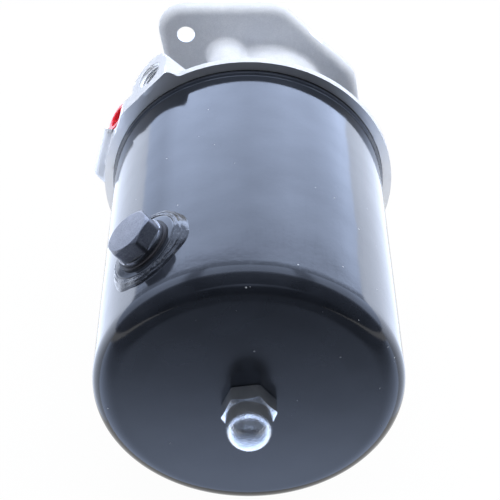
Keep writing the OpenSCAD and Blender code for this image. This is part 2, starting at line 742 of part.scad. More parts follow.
module rear_cover() color([0.66, 0.67, 0.69]) laid() difference() {
    union() {
        translate([0, 0, cover_bottom]) pump_outline(cover_t);
        on_tank_axis() {
            rod(step_r, cover_top - join, step_top);
            rod(neck_r, cover_top - join, neck_top);
        }
    }
    rod(shaft_inner_r + bush_wall + seat_gap, cover_bottom - join, cover_bottom + rear_bush_len);
    on_idler_axis()
        rod(idler_r + bush_wall + seat_gap, cover_bottom - join, cover_bottom + rear_bush_len);
    for (p = screws_at) translate([p.x, p.y, 0])
        rod(screw_r + free_gap, cover_bottom - join, cover_top + join);
    dowel_places() rod(dowel_r + seat_gap, cover_bottom - join, cover_bottom + dowel_len / 2);
    translate([inlet_at.x, inlet_at.y, 0]) rod(oilway_r, cover_bottom - join, cover_top + join);
    on_tank_axis() rod(stud_r + seat_gap, stud_bottom, neck_top + join);
}

// Socket-head screws through the cover and the housing into the casting
module cover_screws() color([0.3, 0.3, 0.32]) laid() for (p = screws_at)
    translate([p.x, p.y, 0]) difference() {
        union() {
            rod(screw_r, casting_h - screw_bite, cover_top + join);
            rod(screw_head_r, cover_top, cover_top + screw_head_h);
        }
        hexagon(screw_d * 0.83, cover_top + screw_head_h * 0.5, cover_top + screw_head_h + join);
    }

module cover_dowels() color([0.7, 0.7, 0.72]) laid()
    dowel_places() rod(dowel_r, casting_h - dowel_len / 2, cover_bottom + dowel_len / 2 - 0.5);

module drive_gear() color([0.5, 0.51, 0.53]) laid() difference() {
    rotate([0, 0, gear_angle]) translate([0, 0, gear_bottom])
        linear_extrude(gear_w) polygon(gear_outline());
    rod(shaft_inner_r + seat_gap, gear_bottom - join, gear_top + join);
    rotate([0, 0, gear_angle]) translate([0, -gear_key_w / 2, gear_bottom - join])
        cube([shaft_inner_r + gear_key_rise + seat_gap, gear_key_w, gear_w + 2 * join]);
}

module drive_gear_key() color([0.45, 0.45, 0.47]) laid() rotate([0, 0, gear_angle])
    translate([shaft_inner_r - gear_key_w + gear_key_rise, -gear_key_w / 2 + seat_gap,
        gear_key_bottom + seat_gap])
    cube([gear_key_w, gear_key_w - 2 * seat_gap, gear_key_len - 2 * seat_gap]);

// Turned by half a tooth, so that a gap faces the drive gear
module driven_gear() color([0.5, 0.51, 0.53]) laid() on_idler_axis() difference() {
    rotate([0, 0, gear_angle + 180 + 180 / teeth]) translate([0, 0, gear_bottom])
        linear_extrude(gear_w) polygon(gear_outline());
    rod(idler_r + seat_gap, gear_bottom - join, gear_top + join);
}

module idler_shaft() color([0.55, 0.56, 0.58]) laid() on_idler_axis()
    rod(idler_r, idler_bottom, shaft_top);

// ---- Flow valve --------------------------------------------------------------------

module flow_spool() color([0.62, 0.63, 0.65]) laid() on_valve_axis() difference() {
    rod(valve_r - run_gap, spool_bottom, spool_top);
    for (h = [0.3, 0.66]) tube(valve_r + join, valve_r - 2.5,
        spool_bottom + spool_len * h - 2, spool_bottom + spool_len * h + 2);
    rod(valve_r - 3, spool_bottom - join, spool_bottom + spool_len * 0.15);
}

module spool_spring() color([0.4, 0.41, 0.43]) laid() on_valve_axis()
    helix(valve_r - 1.7, 0.7, valve_bottom + 0.8, spool_bottom - 0.8, 6);

module valve_plug() color([0.68, 0.69, 0.72]) laid() on_valve_axis() difference() {
    union() {
        rod(valve_plug_r, casting_h - valve_plug_len, casting_h - 0.4);
        rod(nose_r, spool_top + 0.05, casting_h - 1);
    }
    hexagon(5, casting_h - 3.4, casting_h + join);
    valve_ring_groove();
}
module valve_ring_groove()
    tube(valve_plug_r + join, valve_plug_r - 1.2, casting_h - 4.6, casting_h - 3);
module valve_plug_o_ring() color([0.08, 0.08, 0.09]) laid() on_valve_axis() rotate_extrude()
    translate([valve_plug_r - 0.55, casting_h - 3.8]) circle(r = 0.55, $fn = 24);

// ---- Tank --------------------------------------------------------------------------

module tank_seal_ring() color([0.08, 0.08, 0.09]) laid() on_tank_axis()
    tube(tank_r + tank_seal_lip, tank_r - tank_wall - tank_seal_lip,
        casting_h - tank_seal_t, casting_h);

// Profile of the drawn shell, from the mouth's bead to the flat end
function shell_profile(r, top, corner) = concat(
    [for (a = [0:10:90]) [r - corner + corner * cos(a), top - corner + corner * sin(a)]],
    [[0, top]]
);
module reservoir_tank() color([0.07, 0.08, 0.1]) laid() difference() {
    on_tank_axis() rotate_extrude() difference() {
        polygon(concat(
            [[0, casting_h], [tank_r, casting_h], [tank_r + bead_proud, casting_h + bead_h * 0.35],
             [tank_r + bead_proud, casting_h + bead_h * 0.65], [tank_r, casting_h + bead_h]],
            shell_profile(tank_r, tank_top, tank_corner_r)
        ));
        polygon(concat(
            [[0, casting_h - join], [tank_r - tank_wall, casting_h - join]],
            shell_profile(tank_r - tank_wall, tank_top - tank_wall, tank_corner_r - tank_wall)
        ));
        translate([-join, casting_h - join]) square([stud_r + free_gap + join, tank_len + 2 * join]);
    }
    on_side(filler_angle, filler_h) rod(boss_spigot_r + seat_gap, tank_r * 0.7, tank_r + join);
}

module tank_core(r) on_tank_axis() rod(r, casting_h, tank_top + join);

// Threaded boss whose spigot stands in the tank's hole
module filler_boss() color([0.12, 0.13, 0.15]) laid() difference() {
    union() {
        difference() {
            on_side(filler_angle, filler_h) rod(boss_r, tank_r * 0.8, boss_top);
            tank_core(tank_r);
        }
        on_side(filler_angle, filler_h) rod(boss_spigot_r, tank_r - tank_wall - 2, tank_r + 0.5);
    }
    on_side(filler_angle, filler_h) rod(plug_r, tank_r * 0.7, boss_top + join);
}

// The weld's bead lies in the corner between boss and tank
module weld_bead() color([0.3, 0.31, 0.34]) laid() difference() {
    on_side(filler_angle, filler_h) translate([0, 0, tank_r - 5])
        cylinder(r1 = boss_r + weld_w + 1.2, r2 = boss_r, h = 5 + boss_h);
    on_side(filler_angle, filler_h) rod(boss_r + seat_gap, tank_r * 0.7, boss_top + join);
    tank_core(tank_r + weld_gap);
}

module filler_plug_washer() color([0.55, 0.5, 0.42]) laid() on_side(filler_angle, filler_h)
    tube(plug_flange_r - 0.3, plug_r + 0.1, boss_top, plug_seat);

module filler_plug() color([0.1, 0.1, 0.11]) laid() on_side(filler_angle, filler_h) {
    rotate([0, 0, plug_turn])
        chamfered_hexagon(plug_af, plug_seat, plug_seat + plug_flange_h + plug_hex_h);
    rod(plug_flange_r, plug_seat, plug_seat + plug_flange_h);
    rod(plug_r - run_gap, plug_seat - plug_thread_len, plug_seat + join);
}

module tank_stud() color([0.6, 0.61, 0.63]) laid() on_tank_axis()
    rod(stud_r, stud_bottom, stud_top);

// Cap nut: hexagon, collar and dome, with a recess for its sealing ring
module cap_nut() color([0.8, 0.81, 0.84]) laid() on_tank_axis() translate([0, 0, tank_top])
    difference() {
        union() {
            rotate([0, 0, nut_turn]) chamfered_hexagon(nut_af, 0, nut_hex_h);
            rod(dome_d / 2, 0, dome_centre_h);
            translate([0, 0, dome_centre_h]) sphere(d = dome_d);
        }
        rod(stud_r + seat_gap, -join, nut_hole_h);
        rod(nut_recess_r, -dome_d, nut_recess_h);
    }
module nut_seal_ring() color([0.08, 0.08, 0.09]) laid() on_tank_axis() rotate_extrude()
    translate([nut_ring_r, tank_top + nut_ring_wire]) circle(r = nut_ring_wire, $fn = 24);

// ---- Filter ------------------------------------------------------------------------

module filter_paper() color([0.86, 0.8, 0.62]) laid() on_tank_axis()
    translate([0, 0, filter_bottom]) linear_extrude(filter_len) difference() {
        polygon(pleat_outline(filter_r - 1, pleat_in_r + pleat_t));
        polygon(pleat_outline(filter_r - 1 - pleat_t, pleat_in_r));
    }
module filter_end_caps() color([0.75, 0.76, 0.78]) laid() on_tank_axis() {
    tube(filter_r, neck_r + free_gap, filter_bottom - cap_t, filter_bottom);
    tube(filter_r, stud_r + free_gap, filter_top, filter_top + cap_t);
}
module filter_core() color([0.75, 0.76, 0.78]) laid() on_tank_axis() difference() {
    tube(core_r, core_r - 0.8, filter_bottom, filter_top);
    for (level = [1:3]) for (a = [0:45:315])
        translate([0, 0, filter_bottom + filter_len * level / 4])
        rotate([0, 90, a + 22.5 * (level % 2)]) rod(2.5, core_r - 3, core_r + join);
}
module filter_spring() color([0.45, 0.46, 0.48]) laid() on_tank_axis()
    helix(spring_r - wire_r, wire_r, filter_top + cap_t + wire_r,
        seat_top - seat_t - wire_r - seat_gap, 5);
module spring_seat() color([0.72, 0.73, 0.75]) laid() on_tank_axis() {
    tube(spring_r + 3, stud_r + free_gap, seat_top - seat_t, seat_top - seat_gap);
    tube(spring_r - filter_wire_d - 0.4, spring_r - filter_wire_d - 1.6,
        seat_top - seat_t - 3, seat_top - seat_gap);
}

// Shipping plug: a hollow stem pushed into the return port, under a round head
module transit_plug() color([0.85, 0.08, 0.12]) laid() on_side(return_angle, return_h)
    translate([return_shift, 0, return_dist]) difference() {
        union() {
            rod(transit_head_d / 2, 0, transit_head_h);
            rod(return_hole_d / 2 - run_gap, -transit_stem_len, join);
        }
        rod(return_hole_d / 2 - 1.2, -transit_stem_len + 1.5, transit_head_h + join);
    }

pump_body();
pilot_o_ring();
drive_shaft();
shaft_key();
shaft_nut();
shaft_lock_washer();
bearing_outer_ring();
bearing_inner_ring();
bearing_balls();
bearing_cage();
bearing_circlip();
shaft_oil_seal();
front_shaft_bush();
rear_shaft_bush();
gear_housing();
rear_cover();
cover_screws();
cover_dowels();
drive_gear();
drive_gear_key();
driven_gear();
idler_shaft();
front_idler_bush();
rear_idler_bush();
flow_spool();
spool_spring();
valve_plug();
valve_plug_o_ring();
tank_seal_ring();
reservoir_tank();
filler_boss();
weld_bead();
filler_plug();
filler_plug_washer();
tank_stud();
cap_nut();
nut_seal_ring();
filter_paper();
filter_end_caps();
filter_core();
filter_spring();
spring_seat();
transit_plug();
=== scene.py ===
"""Looks of a tractor power-steering pump with its own oil tank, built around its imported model.

The drive shaft lies along Y with its driven end towards +Y, and the tank lies towards -Y.
Piece sizes are in millimetres and become metres when a mesh is made.
"""

import math

import bmesh
import bpy
import numpy as np
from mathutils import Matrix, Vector


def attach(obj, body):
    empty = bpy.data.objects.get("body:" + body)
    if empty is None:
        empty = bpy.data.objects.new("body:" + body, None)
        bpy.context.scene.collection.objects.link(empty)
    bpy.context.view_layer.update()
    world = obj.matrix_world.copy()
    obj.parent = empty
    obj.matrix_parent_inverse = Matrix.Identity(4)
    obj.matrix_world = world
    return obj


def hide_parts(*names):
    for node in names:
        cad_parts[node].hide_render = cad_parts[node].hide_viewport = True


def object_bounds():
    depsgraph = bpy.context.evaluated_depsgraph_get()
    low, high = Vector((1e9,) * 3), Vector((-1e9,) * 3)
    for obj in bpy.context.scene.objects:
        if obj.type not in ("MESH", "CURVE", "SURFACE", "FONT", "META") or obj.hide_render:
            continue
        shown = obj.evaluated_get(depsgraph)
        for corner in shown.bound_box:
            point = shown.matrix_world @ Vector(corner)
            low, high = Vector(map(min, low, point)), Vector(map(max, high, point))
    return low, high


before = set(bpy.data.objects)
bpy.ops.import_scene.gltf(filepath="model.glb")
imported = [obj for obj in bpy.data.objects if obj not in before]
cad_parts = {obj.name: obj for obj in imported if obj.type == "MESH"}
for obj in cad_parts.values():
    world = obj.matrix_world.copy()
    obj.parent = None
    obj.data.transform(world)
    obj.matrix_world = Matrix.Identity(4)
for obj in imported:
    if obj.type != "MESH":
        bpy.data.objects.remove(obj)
cad_low, cad_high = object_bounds()
MM = 0.001

# ---- Camera --------------------------------------------------------------
# A short long-lens view from in front of the tank's closed end and above it, along the axis.
camera = bpy.data.objects.new("camera", bpy.data.cameras.new("camera"))
camera.data.sensor_width = 36
camera.data.lens = 102.34
camera.location = (-0.010017, -0.599035, 0.387935)
LOOK_DOWN = 39.31
camera.rotation_euler = (math.radians(90 - LOOK_DOWN), 0, math.radians(-0.21))
bpy.context.scene.collection.objects.link(camera)
bpy.context.scene.camera = camera
bpy.context.scene.view_settings.view_transform = "Standard"


# ---- Floor, backdrop and light -------------------------------------------
# The pump lies on a white table in a white tent, lit through its cloth from above and behind.
# The cloth and the flags show only in shiny faces, so that what lights the pump stays plain.
def tree_of(owner):
    """The emptied node tree of a material or a world, and its output node."""
    owner.use_nodes = True
    tree = owner.node_tree
    tree.nodes.clear()
    kind = "World" if isinstance(owner, bpy.types.World) else "Material"
    return tree, tree.nodes.new("ShaderNodeOutput" + kind)


def node(tree, kind, inputs=(), **settings):
    """A shader node; inputs maps a socket's name or number to a value or to another socket."""
    made = tree.nodes.new("ShaderNode" + kind)
    for key, value in settings.items():
        setattr(made, key, value)
    for key, value in dict(inputs).items():
        if isinstance(value, bpy.types.NodeSocket):
            tree.links.new(value, made.inputs[key])
        else:
            made.inputs[key].default_value = value
    return made


def tree_by(*values):
    """The node tree of the first socket or node among values."""
    return next(value.id_data for value in values if hasattr(value, "id_data"))


def math_of(operation, *values):
    """The result of a Math node on one or two values or sockets."""
    return node(tree_by(*values), "Math", dict(enumerate(values)), operation=operation).outputs[0]


def white_for_views(tree, seen, other):
    """Shader seen for camera, mirror and glass rays, and other for the rays that light the scene."""
    path = node(tree, "LightPath")
    direct = math_of("MAXIMUM", path.outputs["Is Camera Ray"], path.outputs["Is Glossy Ray"])
    direct = math_of("MAXIMUM", direct, path.outputs["Is Transmission Ray"])
    return node(tree, "MixShader", {0: direct, 1: other, 2: seen}).outputs[0]


WHITE = (1.0, 1.0, 1.0, 1)
AMBIENT = (0.90, 0.94, 1.0, 1)
world = bpy.data.worlds.new("cove")
bpy.context.scene.world = world
tree, out = tree_of(world)
seen = node(tree, "Background", {"Color": WHITE, "Strength": 1.0}).outputs[0]
fill = node(tree, "Background", {"Color": AMBIENT, "Strength": 0.10}).outputs[0]
tree.links.new(white_for_views(tree, seen, fill), out.inputs[0])


def sheet_of(name, low, high):
    """A flat sheet between two corners, level or upright across the table, in metres."""
    (x0, y0, z0), (x1, y1, z1) = low, high
    mesh = bpy.data.meshes.new(name)
    mesh.from_pydata([(x0, y0, z0), (x1, y0, z0), (x1, y1, z1), (x0, y1, z1)], [], [(0, 1, 2, 3)])
    made = bpy.data.objects.new(name, mesh)
    bpy.context.scene.collection.objects.link(made)
    return made


TABLE_Z = cad_low.z
table = sheet_of("table", (-4, -3.4, TABLE_Z), (4, 4.6, TABLE_Z))
table_paint = bpy.data.materials.new("white table")
tree, out = tree_of(table_paint)
lit = node(tree, "BsdfDiffuse", {"Color": (0.24, 0.245, 0.255, 1)}).outputs[0]
glow = node(tree, "Emission", {"Color": WHITE, "Strength": 1.05}).outputs[0]
soft = node(tree, "MixShader", {0: 0.93, 1: lit, 2: glow}).outputs[0]
tree.links.new(white_for_views(tree, soft, lit), out.inputs[0])
table.data.materials.append(table_paint)


def only_in_mirrors(made, strength_of, tint=(0.73, 0.88, 1.22, 1)):
    """The sheet shows only in shiny faces; strength_of(place) gives its brightness."""
    made.visible_camera = made.visible_diffuse = made.visible_shadow = made.visible_transmission = False
    paint = bpy.data.materials.new(made.name)
    tree, out = tree_of(paint)
    place = node(tree, "SeparateXYZ", {0: node(tree, "TexCoord").outputs["Object"]}).outputs
    glow = node(tree, "Emission", {"Color": tint, "Strength": strength_of(place)})
    tree.links.new(glow.outputs[0], out.inputs[0])
    made.data.materials.append(paint)


def set_stops(ramp, stops):
    """Gives a colour ramp these stops, each a place and a colour."""
    steps = ramp.color_ramp.elements
    steps[0].position, steps[1].position = stops[0][0], stops[-1][0]
    steps[0].color, steps[1].color = (*stops[0][1], 1), (*stops[-1][1], 1)
    for place, colour in stops[1:-1]:
        steps.new(place).color = (*colour, 1)


def along_curve(value, *stops):
    """A number that follows straight lines between the stops (value, result)."""
    tree = tree_by(value)
    start, stop, top = stops[0][0], stops[-1][0], max(result for _, result in stops)
    share = node(tree, "MapRange", {"Value": value, 1: start, 2: stop}).outputs[0]
    ramp = node(tree, "ValToRGB", {0: share})
    set_stops(ramp, [((where - start) / (stop - start), (result / top,) * 3) for where, result in stops])
    return math_of("MULTIPLY", ramp.outputs[0], top)


# The tent: a half tube of cloth round the axis, bright behind the pump and dark before it
TENT_R, TENT_FRONT, TENT_BACK, STRIPS = 1.3, -1.6, 3.6, 59
around_tent = np.radians(np.linspace(-118, 118, STRIPS + 1))
tent_edge = np.stack((TENT_R * np.sin(around_tent), 0 * around_tent, TENT_R * np.cos(around_tent)), 1)
tent_points = np.concatenate((tent_edge + (0, TENT_FRONT, 0), tent_edge + (0, TENT_BACK, 0)))
first = np.arange(STRIPS)
strips = np.stack((first, first + 1, first + STRIPS + 2, first + STRIPS + 1), 1)
tent_mesh = bpy.data.meshes.new("tent")
tent_mesh.from_pydata(tent_points.tolist(), [], strips.tolist())
tent = bpy.data.objects.new("tent", tent_mesh)
bpy.context.scene.collection.objects.link(tent)


def tent_light(place):
    """Bright behind the pump and weaker at the sides; overhead one lamp's width is bright."""
    back = along_curve(place[1], (-1.6, 0.12), (-0.2, 0.14), (-0.04, 0.6), (0.06, 2.0), (0.98, 2.3),
                       (1.04, 1.0), (1.2, 1.0), (1.26, 3.3), (1.5, 4.0), (1.8, 4.7), (2.2, 5.1), (3.6, 5.1))
    angle = math_of("ARCTAN2", place[0], place[2])
    side = along_curve(angle, (-2.1, 0.6), (-1.6, 0.62), (-1.3, 0.66), (-1.08, 0.93), (-0.82, 1.05),
                       (-0.35, 1.06), (0.0, 0.98), (0.55, 1.1), (0.95, 0.93), (1.2, 0.92), (1.46, 1.0),
                       (1.7, 0.85), (2.1, 0.7))
    beside = math_of("ABSOLUTE", place[0])
    lamp = along_curve(beside, (0, 1), (0.58, 1), (0.66, 0.4), (0.78, 0.4), (0.9, 1), (1.3, 1))
    lamp = math_of("MAXIMUM", lamp, math_of("GREATER_THAN", place[1], 1.1))
    return math_of("MULTIPLY", math_of("MULTIPLY", back, side), lamp)


def table_light(place):
    """A little brighter towards the back."""
    return along_curve(place[1], (-0.22, 1.2), (-0.1, 2.4), (0.4, 2.9), (3.0, 3.2))


def front_light(place):
    """Dark up to its back edge."""
    return along_curve(place[1], (-1.5, 0.12), (-0.37, 0.23), (-0.30, 0.75), (-0.235, 2.1), (-0.222, 2.2))


def far_light(place):
    """Dark, with a soft band near its top that is strongest in the middle."""
    band = along_curve(place[2], (-0.1, 0.08), (0.2, 0.06), (0.8, 0.06), (1.02, 0.7), (1.2, 0.7),
                       (1.3, 0.2))
    beside = math_of("ABSOLUTE", place[0])
    fade = along_curve(beside, (0, 1.0), (0.12, 1.0), (0.3, 0.7), (1.3, 0.7))
    return math_of("MULTIPLY", band, fade)


only_in_mirrors(tent, tent_light)
GLOW_FRONT, GLOW_BACK = -0.22, 3.0
for name, x0, x1 in (("left_table_glow", -1.3, -0.10), ("right_table_glow", 0.085, 1.3)):
    glow_sheet = sheet_of(name, (x0, GLOW_FRONT, TABLE_Z + 0.001), (x1, GLOW_BACK, TABLE_Z + 0.001))
    only_in_mirrors(glow_sheet, table_light, tint=(0.82, 0.91, 1.10, 1))
front_flag = sheet_of("front_flag", (-0.5, -1.5, TABLE_Z + 0.002), (0.5, -0.222, TABLE_Z + 0.002))
only_in_mirrors(front_flag, front_light)
far_flag = sheet_of("far_flag", (-1.3, -1.58, TABLE_Z), (1.3, -1.57, 1.3))
only_in_mirrors(far_flag, far_light)


def soft_light(name, spot, aim, width, height, watts, tint):
    """A soft box that lights the pump; the tent stands for it in shiny faces."""
    lamp = bpy.data.lights.new(name, "AREA")
    lamp.shape = "RECTANGLE"
    lamp.size, lamp.size_y = width, height
    lamp.energy = watts
    lamp.color = tint
    made = bpy.data.objects.new(name, lamp)
    made.location = spot
    made.rotation_euler = (Vector(aim) - Vector(spot)).to_track_quat("-Z", "Y").to_euler()
    bpy.context.scene.collection.objects.link(made)
    made.visible_camera = made.visible_glossy = False


MIDDLE = (0, -0.09, 0)
DAYLIGHT = (0.95, 0.97, 1.0)
soft_light("top_box", (0.05, 0.12, 1.3), MIDDLE, 1.5, 1.3, 29, DAYLIGHT)
soft_light("left_box", (-1.05, -0.35, 0.12), MIDDLE, 0.8, 0.6, 8.5, DAYLIGHT)
soft_light("right_box", (1.0, 0.16, 0.6), MIDDLE, 0.8, 0.8, 10, (0.96, 0.98, 1.0))


# ---- Pump body: the casting's shape --------------------------------------
# One aluminium die casting: mounting flange, barrel with its valve boss, and the round floor and
# rim that carry the tank, with the outlet block and the side lug. Its seats and bores are machined.
# Bench places (x, y, h) are used here: h runs from the mounting face towards the tank.
TANK_X = -9.0            # the tank's axis, beside the shaft's
TANK_R = 60.35
SEAT_H = 78.1            # mounting face to the tank's seat
RING_R = 65.25
RIM_T, FLOOR_T = 4.0, 9.0
FLANGE_T = 5.6
BARREL_R, BARREL_FOOT_R = 29.6, 16.0
PILOT_R, PILOT_H = 28.0, 7.0
VALVE_AT = (-18.5, 23.5)
GEAR_ANGLE = math.radians(-120)
IDLER_AT = (26.4 * math.cos(GEAR_ANGLE), 26.4 * math.sin(GEAR_ANGLE))
EAR_TURN = math.radians(137.2)
EAR = (-52.6 * math.cos(EAR_TURN), -52.6 * math.sin(EAR_TURN))    # a mounting hole, on its bolt circle
OUTLET = dict(angle=47.1, height=66.7, shift=8.3)
OUTLET_FLAT = 67.0       # from the tank's axis
RETURN = dict(angle=56.0, height=66.75, shift=-8.2)
RETURN_FLAT = 64.05
LUG_ANGLE, LUG_FLAT = 75.0, 68.85
LUG_HEAD, LUG_TAIL = 10, 15.4    # how far the lug runs above its flat's foot, and below


def heading(angle):
    """Unit vectors around the tank: outwards at angle from straight up to the left, and along."""
    a = math.radians(angle)
    return np.array([-math.sin(a), math.cos(a)]), np.array([math.cos(a), math.sin(a)])


def foot(angle, distance):
    """The foot of a flat that faces angle at distance from the tank's axis."""
    return np.array([TANK_X, 0.0]) + distance * heading(angle)[0]


def rounded(corners, radii, steps=6):
    """A line through corners, each turned by an arc of its own radius that touches both legs.

    An arc's centre lies on the corner's bisector at radius / sin(half angle), and its points
    turn evenly from the first leg to the second. Corners may carry further axes.
    """
    corners = np.asarray(corners, float)
    line = [corners[0][None]]
    for before, at, after, radius in zip(corners, corners[1:], corners[2:], radii):
        if not radius:
            line.append(at[None])
            continue
        to_before, to_after = before - at, after - at
        to_before /= np.linalg.norm(to_before, axis=-1, keepdims=True)
        to_after /= np.linalg.norm(to_after, axis=-1, keepdims=True)
        cosine = np.clip((to_before * to_after).sum(-1, keepdims=True), -0.99999, 0.99999)
        half = np.arccos(cosine) / 2
        middle = to_before + to_after
        centre = at + middle / np.linalg.norm(middle, axis=-1, keepdims=True) * radius / np.sin(half)
        first = at + to_before * radius / np.tan(half) - centre
        last = at + to_after * radius / np.tan(half) - centre
        turn = np.pi - 2 * half
        share = np.linspace(0, 1, steps).reshape((-1,) + (1,) * at.ndim)
        arc = (np.sin((1 - share) * turn) * first + np.sin(share * turn) * last) / np.sin(turn)
        line.append(centre + arc)
    line.append(corners[-1][None])
    return np.concatenate(line)


def loop_rounded(corners, radii):
    """A closed outline whose corners are rounded as rounded() does."""
    corners = np.asarray(corners, float)
    ring = np.concatenate((corners[-1:], corners, corners[:1]))
    return rounded(ring, radii, 9)[1:-1]


def outline_distance(outline, x, y):
    """Distance from (x, y) to a closed outline, negative inside.

    The nearest point of each side is found by projection, and the crossings of a ray to the
    right give the sign.
    """
    nearest = np.full(np.broadcast(x, y).shape, 1e9)
    within = np.zeros(nearest.shape, bool)
    for (ax, ay), (bx, by) in zip(outline, np.roll(outline, -1, 0)):
        dx, dy = bx - ax, by - ay
        share = np.clip(((x - ax) * dx + (y - ay) * dy) / (dx * dx + dy * dy), 0, 1)
        nearest = np.minimum(nearest, (x - ax - share * dx) ** 2 + (y - ay - share * dy) ** 2)
        if dy:
            within ^= ((ay > y) != (by > y)) & (x < ax + (y - ay) * dx / dy)
    return np.where(within, -1, 1) * np.sqrt(nearest)


def merged(a, b, fillet=0.0):
    """Union of two solids; within fillet of each other their surfaces run together in a parabola."""
    if not fillet:
        return np.minimum(a, b)
    near = np.maximum(fillet - np.abs(a - b), 0)
    return np.minimum(a, b) - near * near / (4 * fillet)


def common(a, b, radius=0.0):
    """What two solids share; the edge between them is turned off to a quarter circle of radius."""
    if not radius:
        return np.maximum(a, b)
    past = np.hypot(np.maximum(a + radius, 0), np.maximum(b + radius, 0))
    return np.minimum(np.maximum(a, b), -radius) + past


def between(h, low, high):
    """The slab from low to high."""
    return np.maximum(low - h, h - high)


def drum(x, y, h, at, radius, low, high, edge=0.0):
    """A round column along h, its edges rounded by edge."""
    return common(np.hypot(x - at[0], y - at[1]) - radius, between(h, low, high), edge)


def side_drum(x, y, h, place, radius, low, high, edge=0.0):
    """A round column that points out of the tank's side at place, from distance low to high."""
    out_way, along_way = heading(place["angle"])
    outwards = (x - TANK_X) * out_way[0] + y * out_way[1]
    sideways = (x - TANK_X) * along_way[0] + y * along_way[1]
    round_it = np.hypot(sideways - place["shift"], h - place["height"]) - radius
    return common(round_it, between(outwards, low, high), edge)


def crossing(p, a, q, b):
    """Where the line through p in direction a meets the line through q in direction b, in degrees."""
    u = np.array([math.cos(math.radians(a)), math.sin(math.radians(a))])
    v = np.array([math.cos(math.radians(b)), math.sin(math.radians(b))])
    w = np.subtract(q, p)
    return np.array(p) + u * (w[0] * v[1] - w[1] * v[0]) / (u[0] * v[1] - u[1] * v[0])


FLANGE_TOP, FLANGE_SIDE, FLANGE_FLAT, EAR_R = 50.0, 45.8, 40.1, 12.9
flat_foot = FLANGE_FLAT * np.array([math.cos(math.pi / 4), math.sin(math.pi / 4)])
to_ear = np.array(EAR) - (FLANGE_SIDE, 0)
side_turn = math.degrees(math.atan2(to_ear[1], to_ear[0]) + math.asin(EAR_R / np.hypot(*to_ear)))
half_flange = np.array([crossing((0, FLANGE_TOP), 0, flat_foot, -45),
                        crossing(flat_foot, -45, (FLANGE_SIDE, 0), side_turn),
                        crossing((FLANGE_SIDE, 0), side_turn, (0, -FLANGE_TOP), 0)])
flange_outline = loop_rounded(np.concatenate((half_flange, -half_flange)), [16, 18, EAR_R] * 2)

along_way = heading(OUTLET["angle"])[1]
outlet_foot = foot(OUTLET["angle"], OUTLET_FLAT + 1)
block_outline = loop_rounded(
    [(TANK_X, RING_R / 2), foot(OUTLET["angle"] - 20, RING_R - 0.5), outlet_foot + 20.7 * along_way,
     outlet_foot - 7.5 * along_way, foot(OUTLET["angle"] + 20, RING_R - 0.5), (TANK_X - RING_R / 2, 0)],
    [0, 4, 5, 2, 0, 0])
lug_foot = foot(LUG_ANGLE, LUG_FLAT)
lug_way = heading(LUG_ANGLE)[1]
lug_outline = loop_rounded(
    [(TANK_X - RING_R / 2, RING_R * 0.55), lug_foot + LUG_HEAD * lug_way, lug_foot - LUG_TAIL * lug_way,
     foot(LUG_ANGLE + 20, RING_R - 1), (TANK_X - RING_R / 2, -RING_R / 8)], [0, 3, 3, 3, 0])
VALVE_BOSS_R, IDLER_BOSS_R, SCREW_BOSS_R = 10, 13, 6.2
ARM_R, OUTLET_BOSS_R, RETURN_BOSS_R = 9.5, 11.6, 8.8
SCREW_REACH = 15.37 + 3 + 2.5    # from a gear's axis: its chamber, a wall and half a screw
screws_at = []
for axis_at, turn, angles in (((0, 0), GEAR_ANGLE + math.pi, (25, -55)), (IDLER_AT, GEAR_ANGLE, (-40, 40))):
    for a in np.radians(angles) + turn:
        screws_at.append((axis_at[0] + SCREW_REACH * math.cos(a), axis_at[1] + SCREW_REACH * math.sin(a)))


def raw_casting(x, y, h):
    """Distance to the casting as it leaves the die: its masses run together in soft fillets."""
    shaft_r = np.hypot(x, y)
    tank_r = np.hypot(x - TANK_X, y)
    flange = common(outline_distance(flange_outline, x, y), h - FLANGE_T, 4.0)
    flange = common(flange, -h, 0.4)
    floor_h = SEAT_H - FLOOR_T + 1
    to_flare = BARREL_R + BARREL_FOOT_R - shaft_r
    flare = np.hypot(np.maximum(to_flare, 0), np.maximum(h - floor_h + BARREL_FOOT_R, 0))
    barrel = common(BARREL_FOOT_R - flare, np.maximum(between(h, 1, floor_h), -to_flare))
    barrel = merged(barrel, drum(x, y, h, VALVE_AT, VALVE_BOSS_R, 2, SEAT_H - 2), 2.2)
    barrel = merged(barrel, drum(x, y, h, IDLER_AT, IDLER_BOSS_R, 46.6, SEAT_H - 2, 2), 5)
    for at in screws_at:
        barrel = merged(barrel, drum(x, y, h, at, SCREW_BOSS_R, SEAT_H - 15, SEAT_H - 2, 1.5), 4)
    barrel = merged(barrel, side_drum(x, y, h, OUTLET, ARM_R, RING_R / 3, RING_R - 2), 5)
    slope = (SEAT_H - FLOOR_T + (tank_r - RING_R + 9) * 1.25 - h) * 0.62
    under = common(SEAT_H - FLOOR_T - h, slope, 0)
    under = -common(-under, h - SEAT_H + RIM_T, 2)
    rim = common(common(tank_r - RING_R, under, 1.2), h - SEAT_H - 1)
    block = common(outline_distance(block_outline, x, y), between(h, SEAT_H - FLOOR_T, SEAT_H + 1), 1.5)
    lug = common(outline_distance(lug_outline, x, y), between(h, SEAT_H - 11.4, SEAT_H - 3.4), 3)
    block = merged(block, lug, 2)
    block = merged(block, side_drum(x, y, h, OUTLET, OUTLET_BOSS_R, RING_R / 2, OUTLET_FLAT + 1, 1.2), 1.5)
    block = merged(block, side_drum(x, y, h, RETURN, RETURN_BOSS_R, RING_R / 2, RETURN_FLAT), 1.5)
    solid = merged(merged(barrel, rim, 3), block, 1.5)
    return merged(merged(solid, flange, 2.2), drum(x, y, h, (0, 0), PILOT_R, -PILOT_H, 1, 0.8))


def hole(solid, cut, edge=0.0):
    """solid less cut, the edge turned off by edge."""
    return common(solid, -cut, edge)


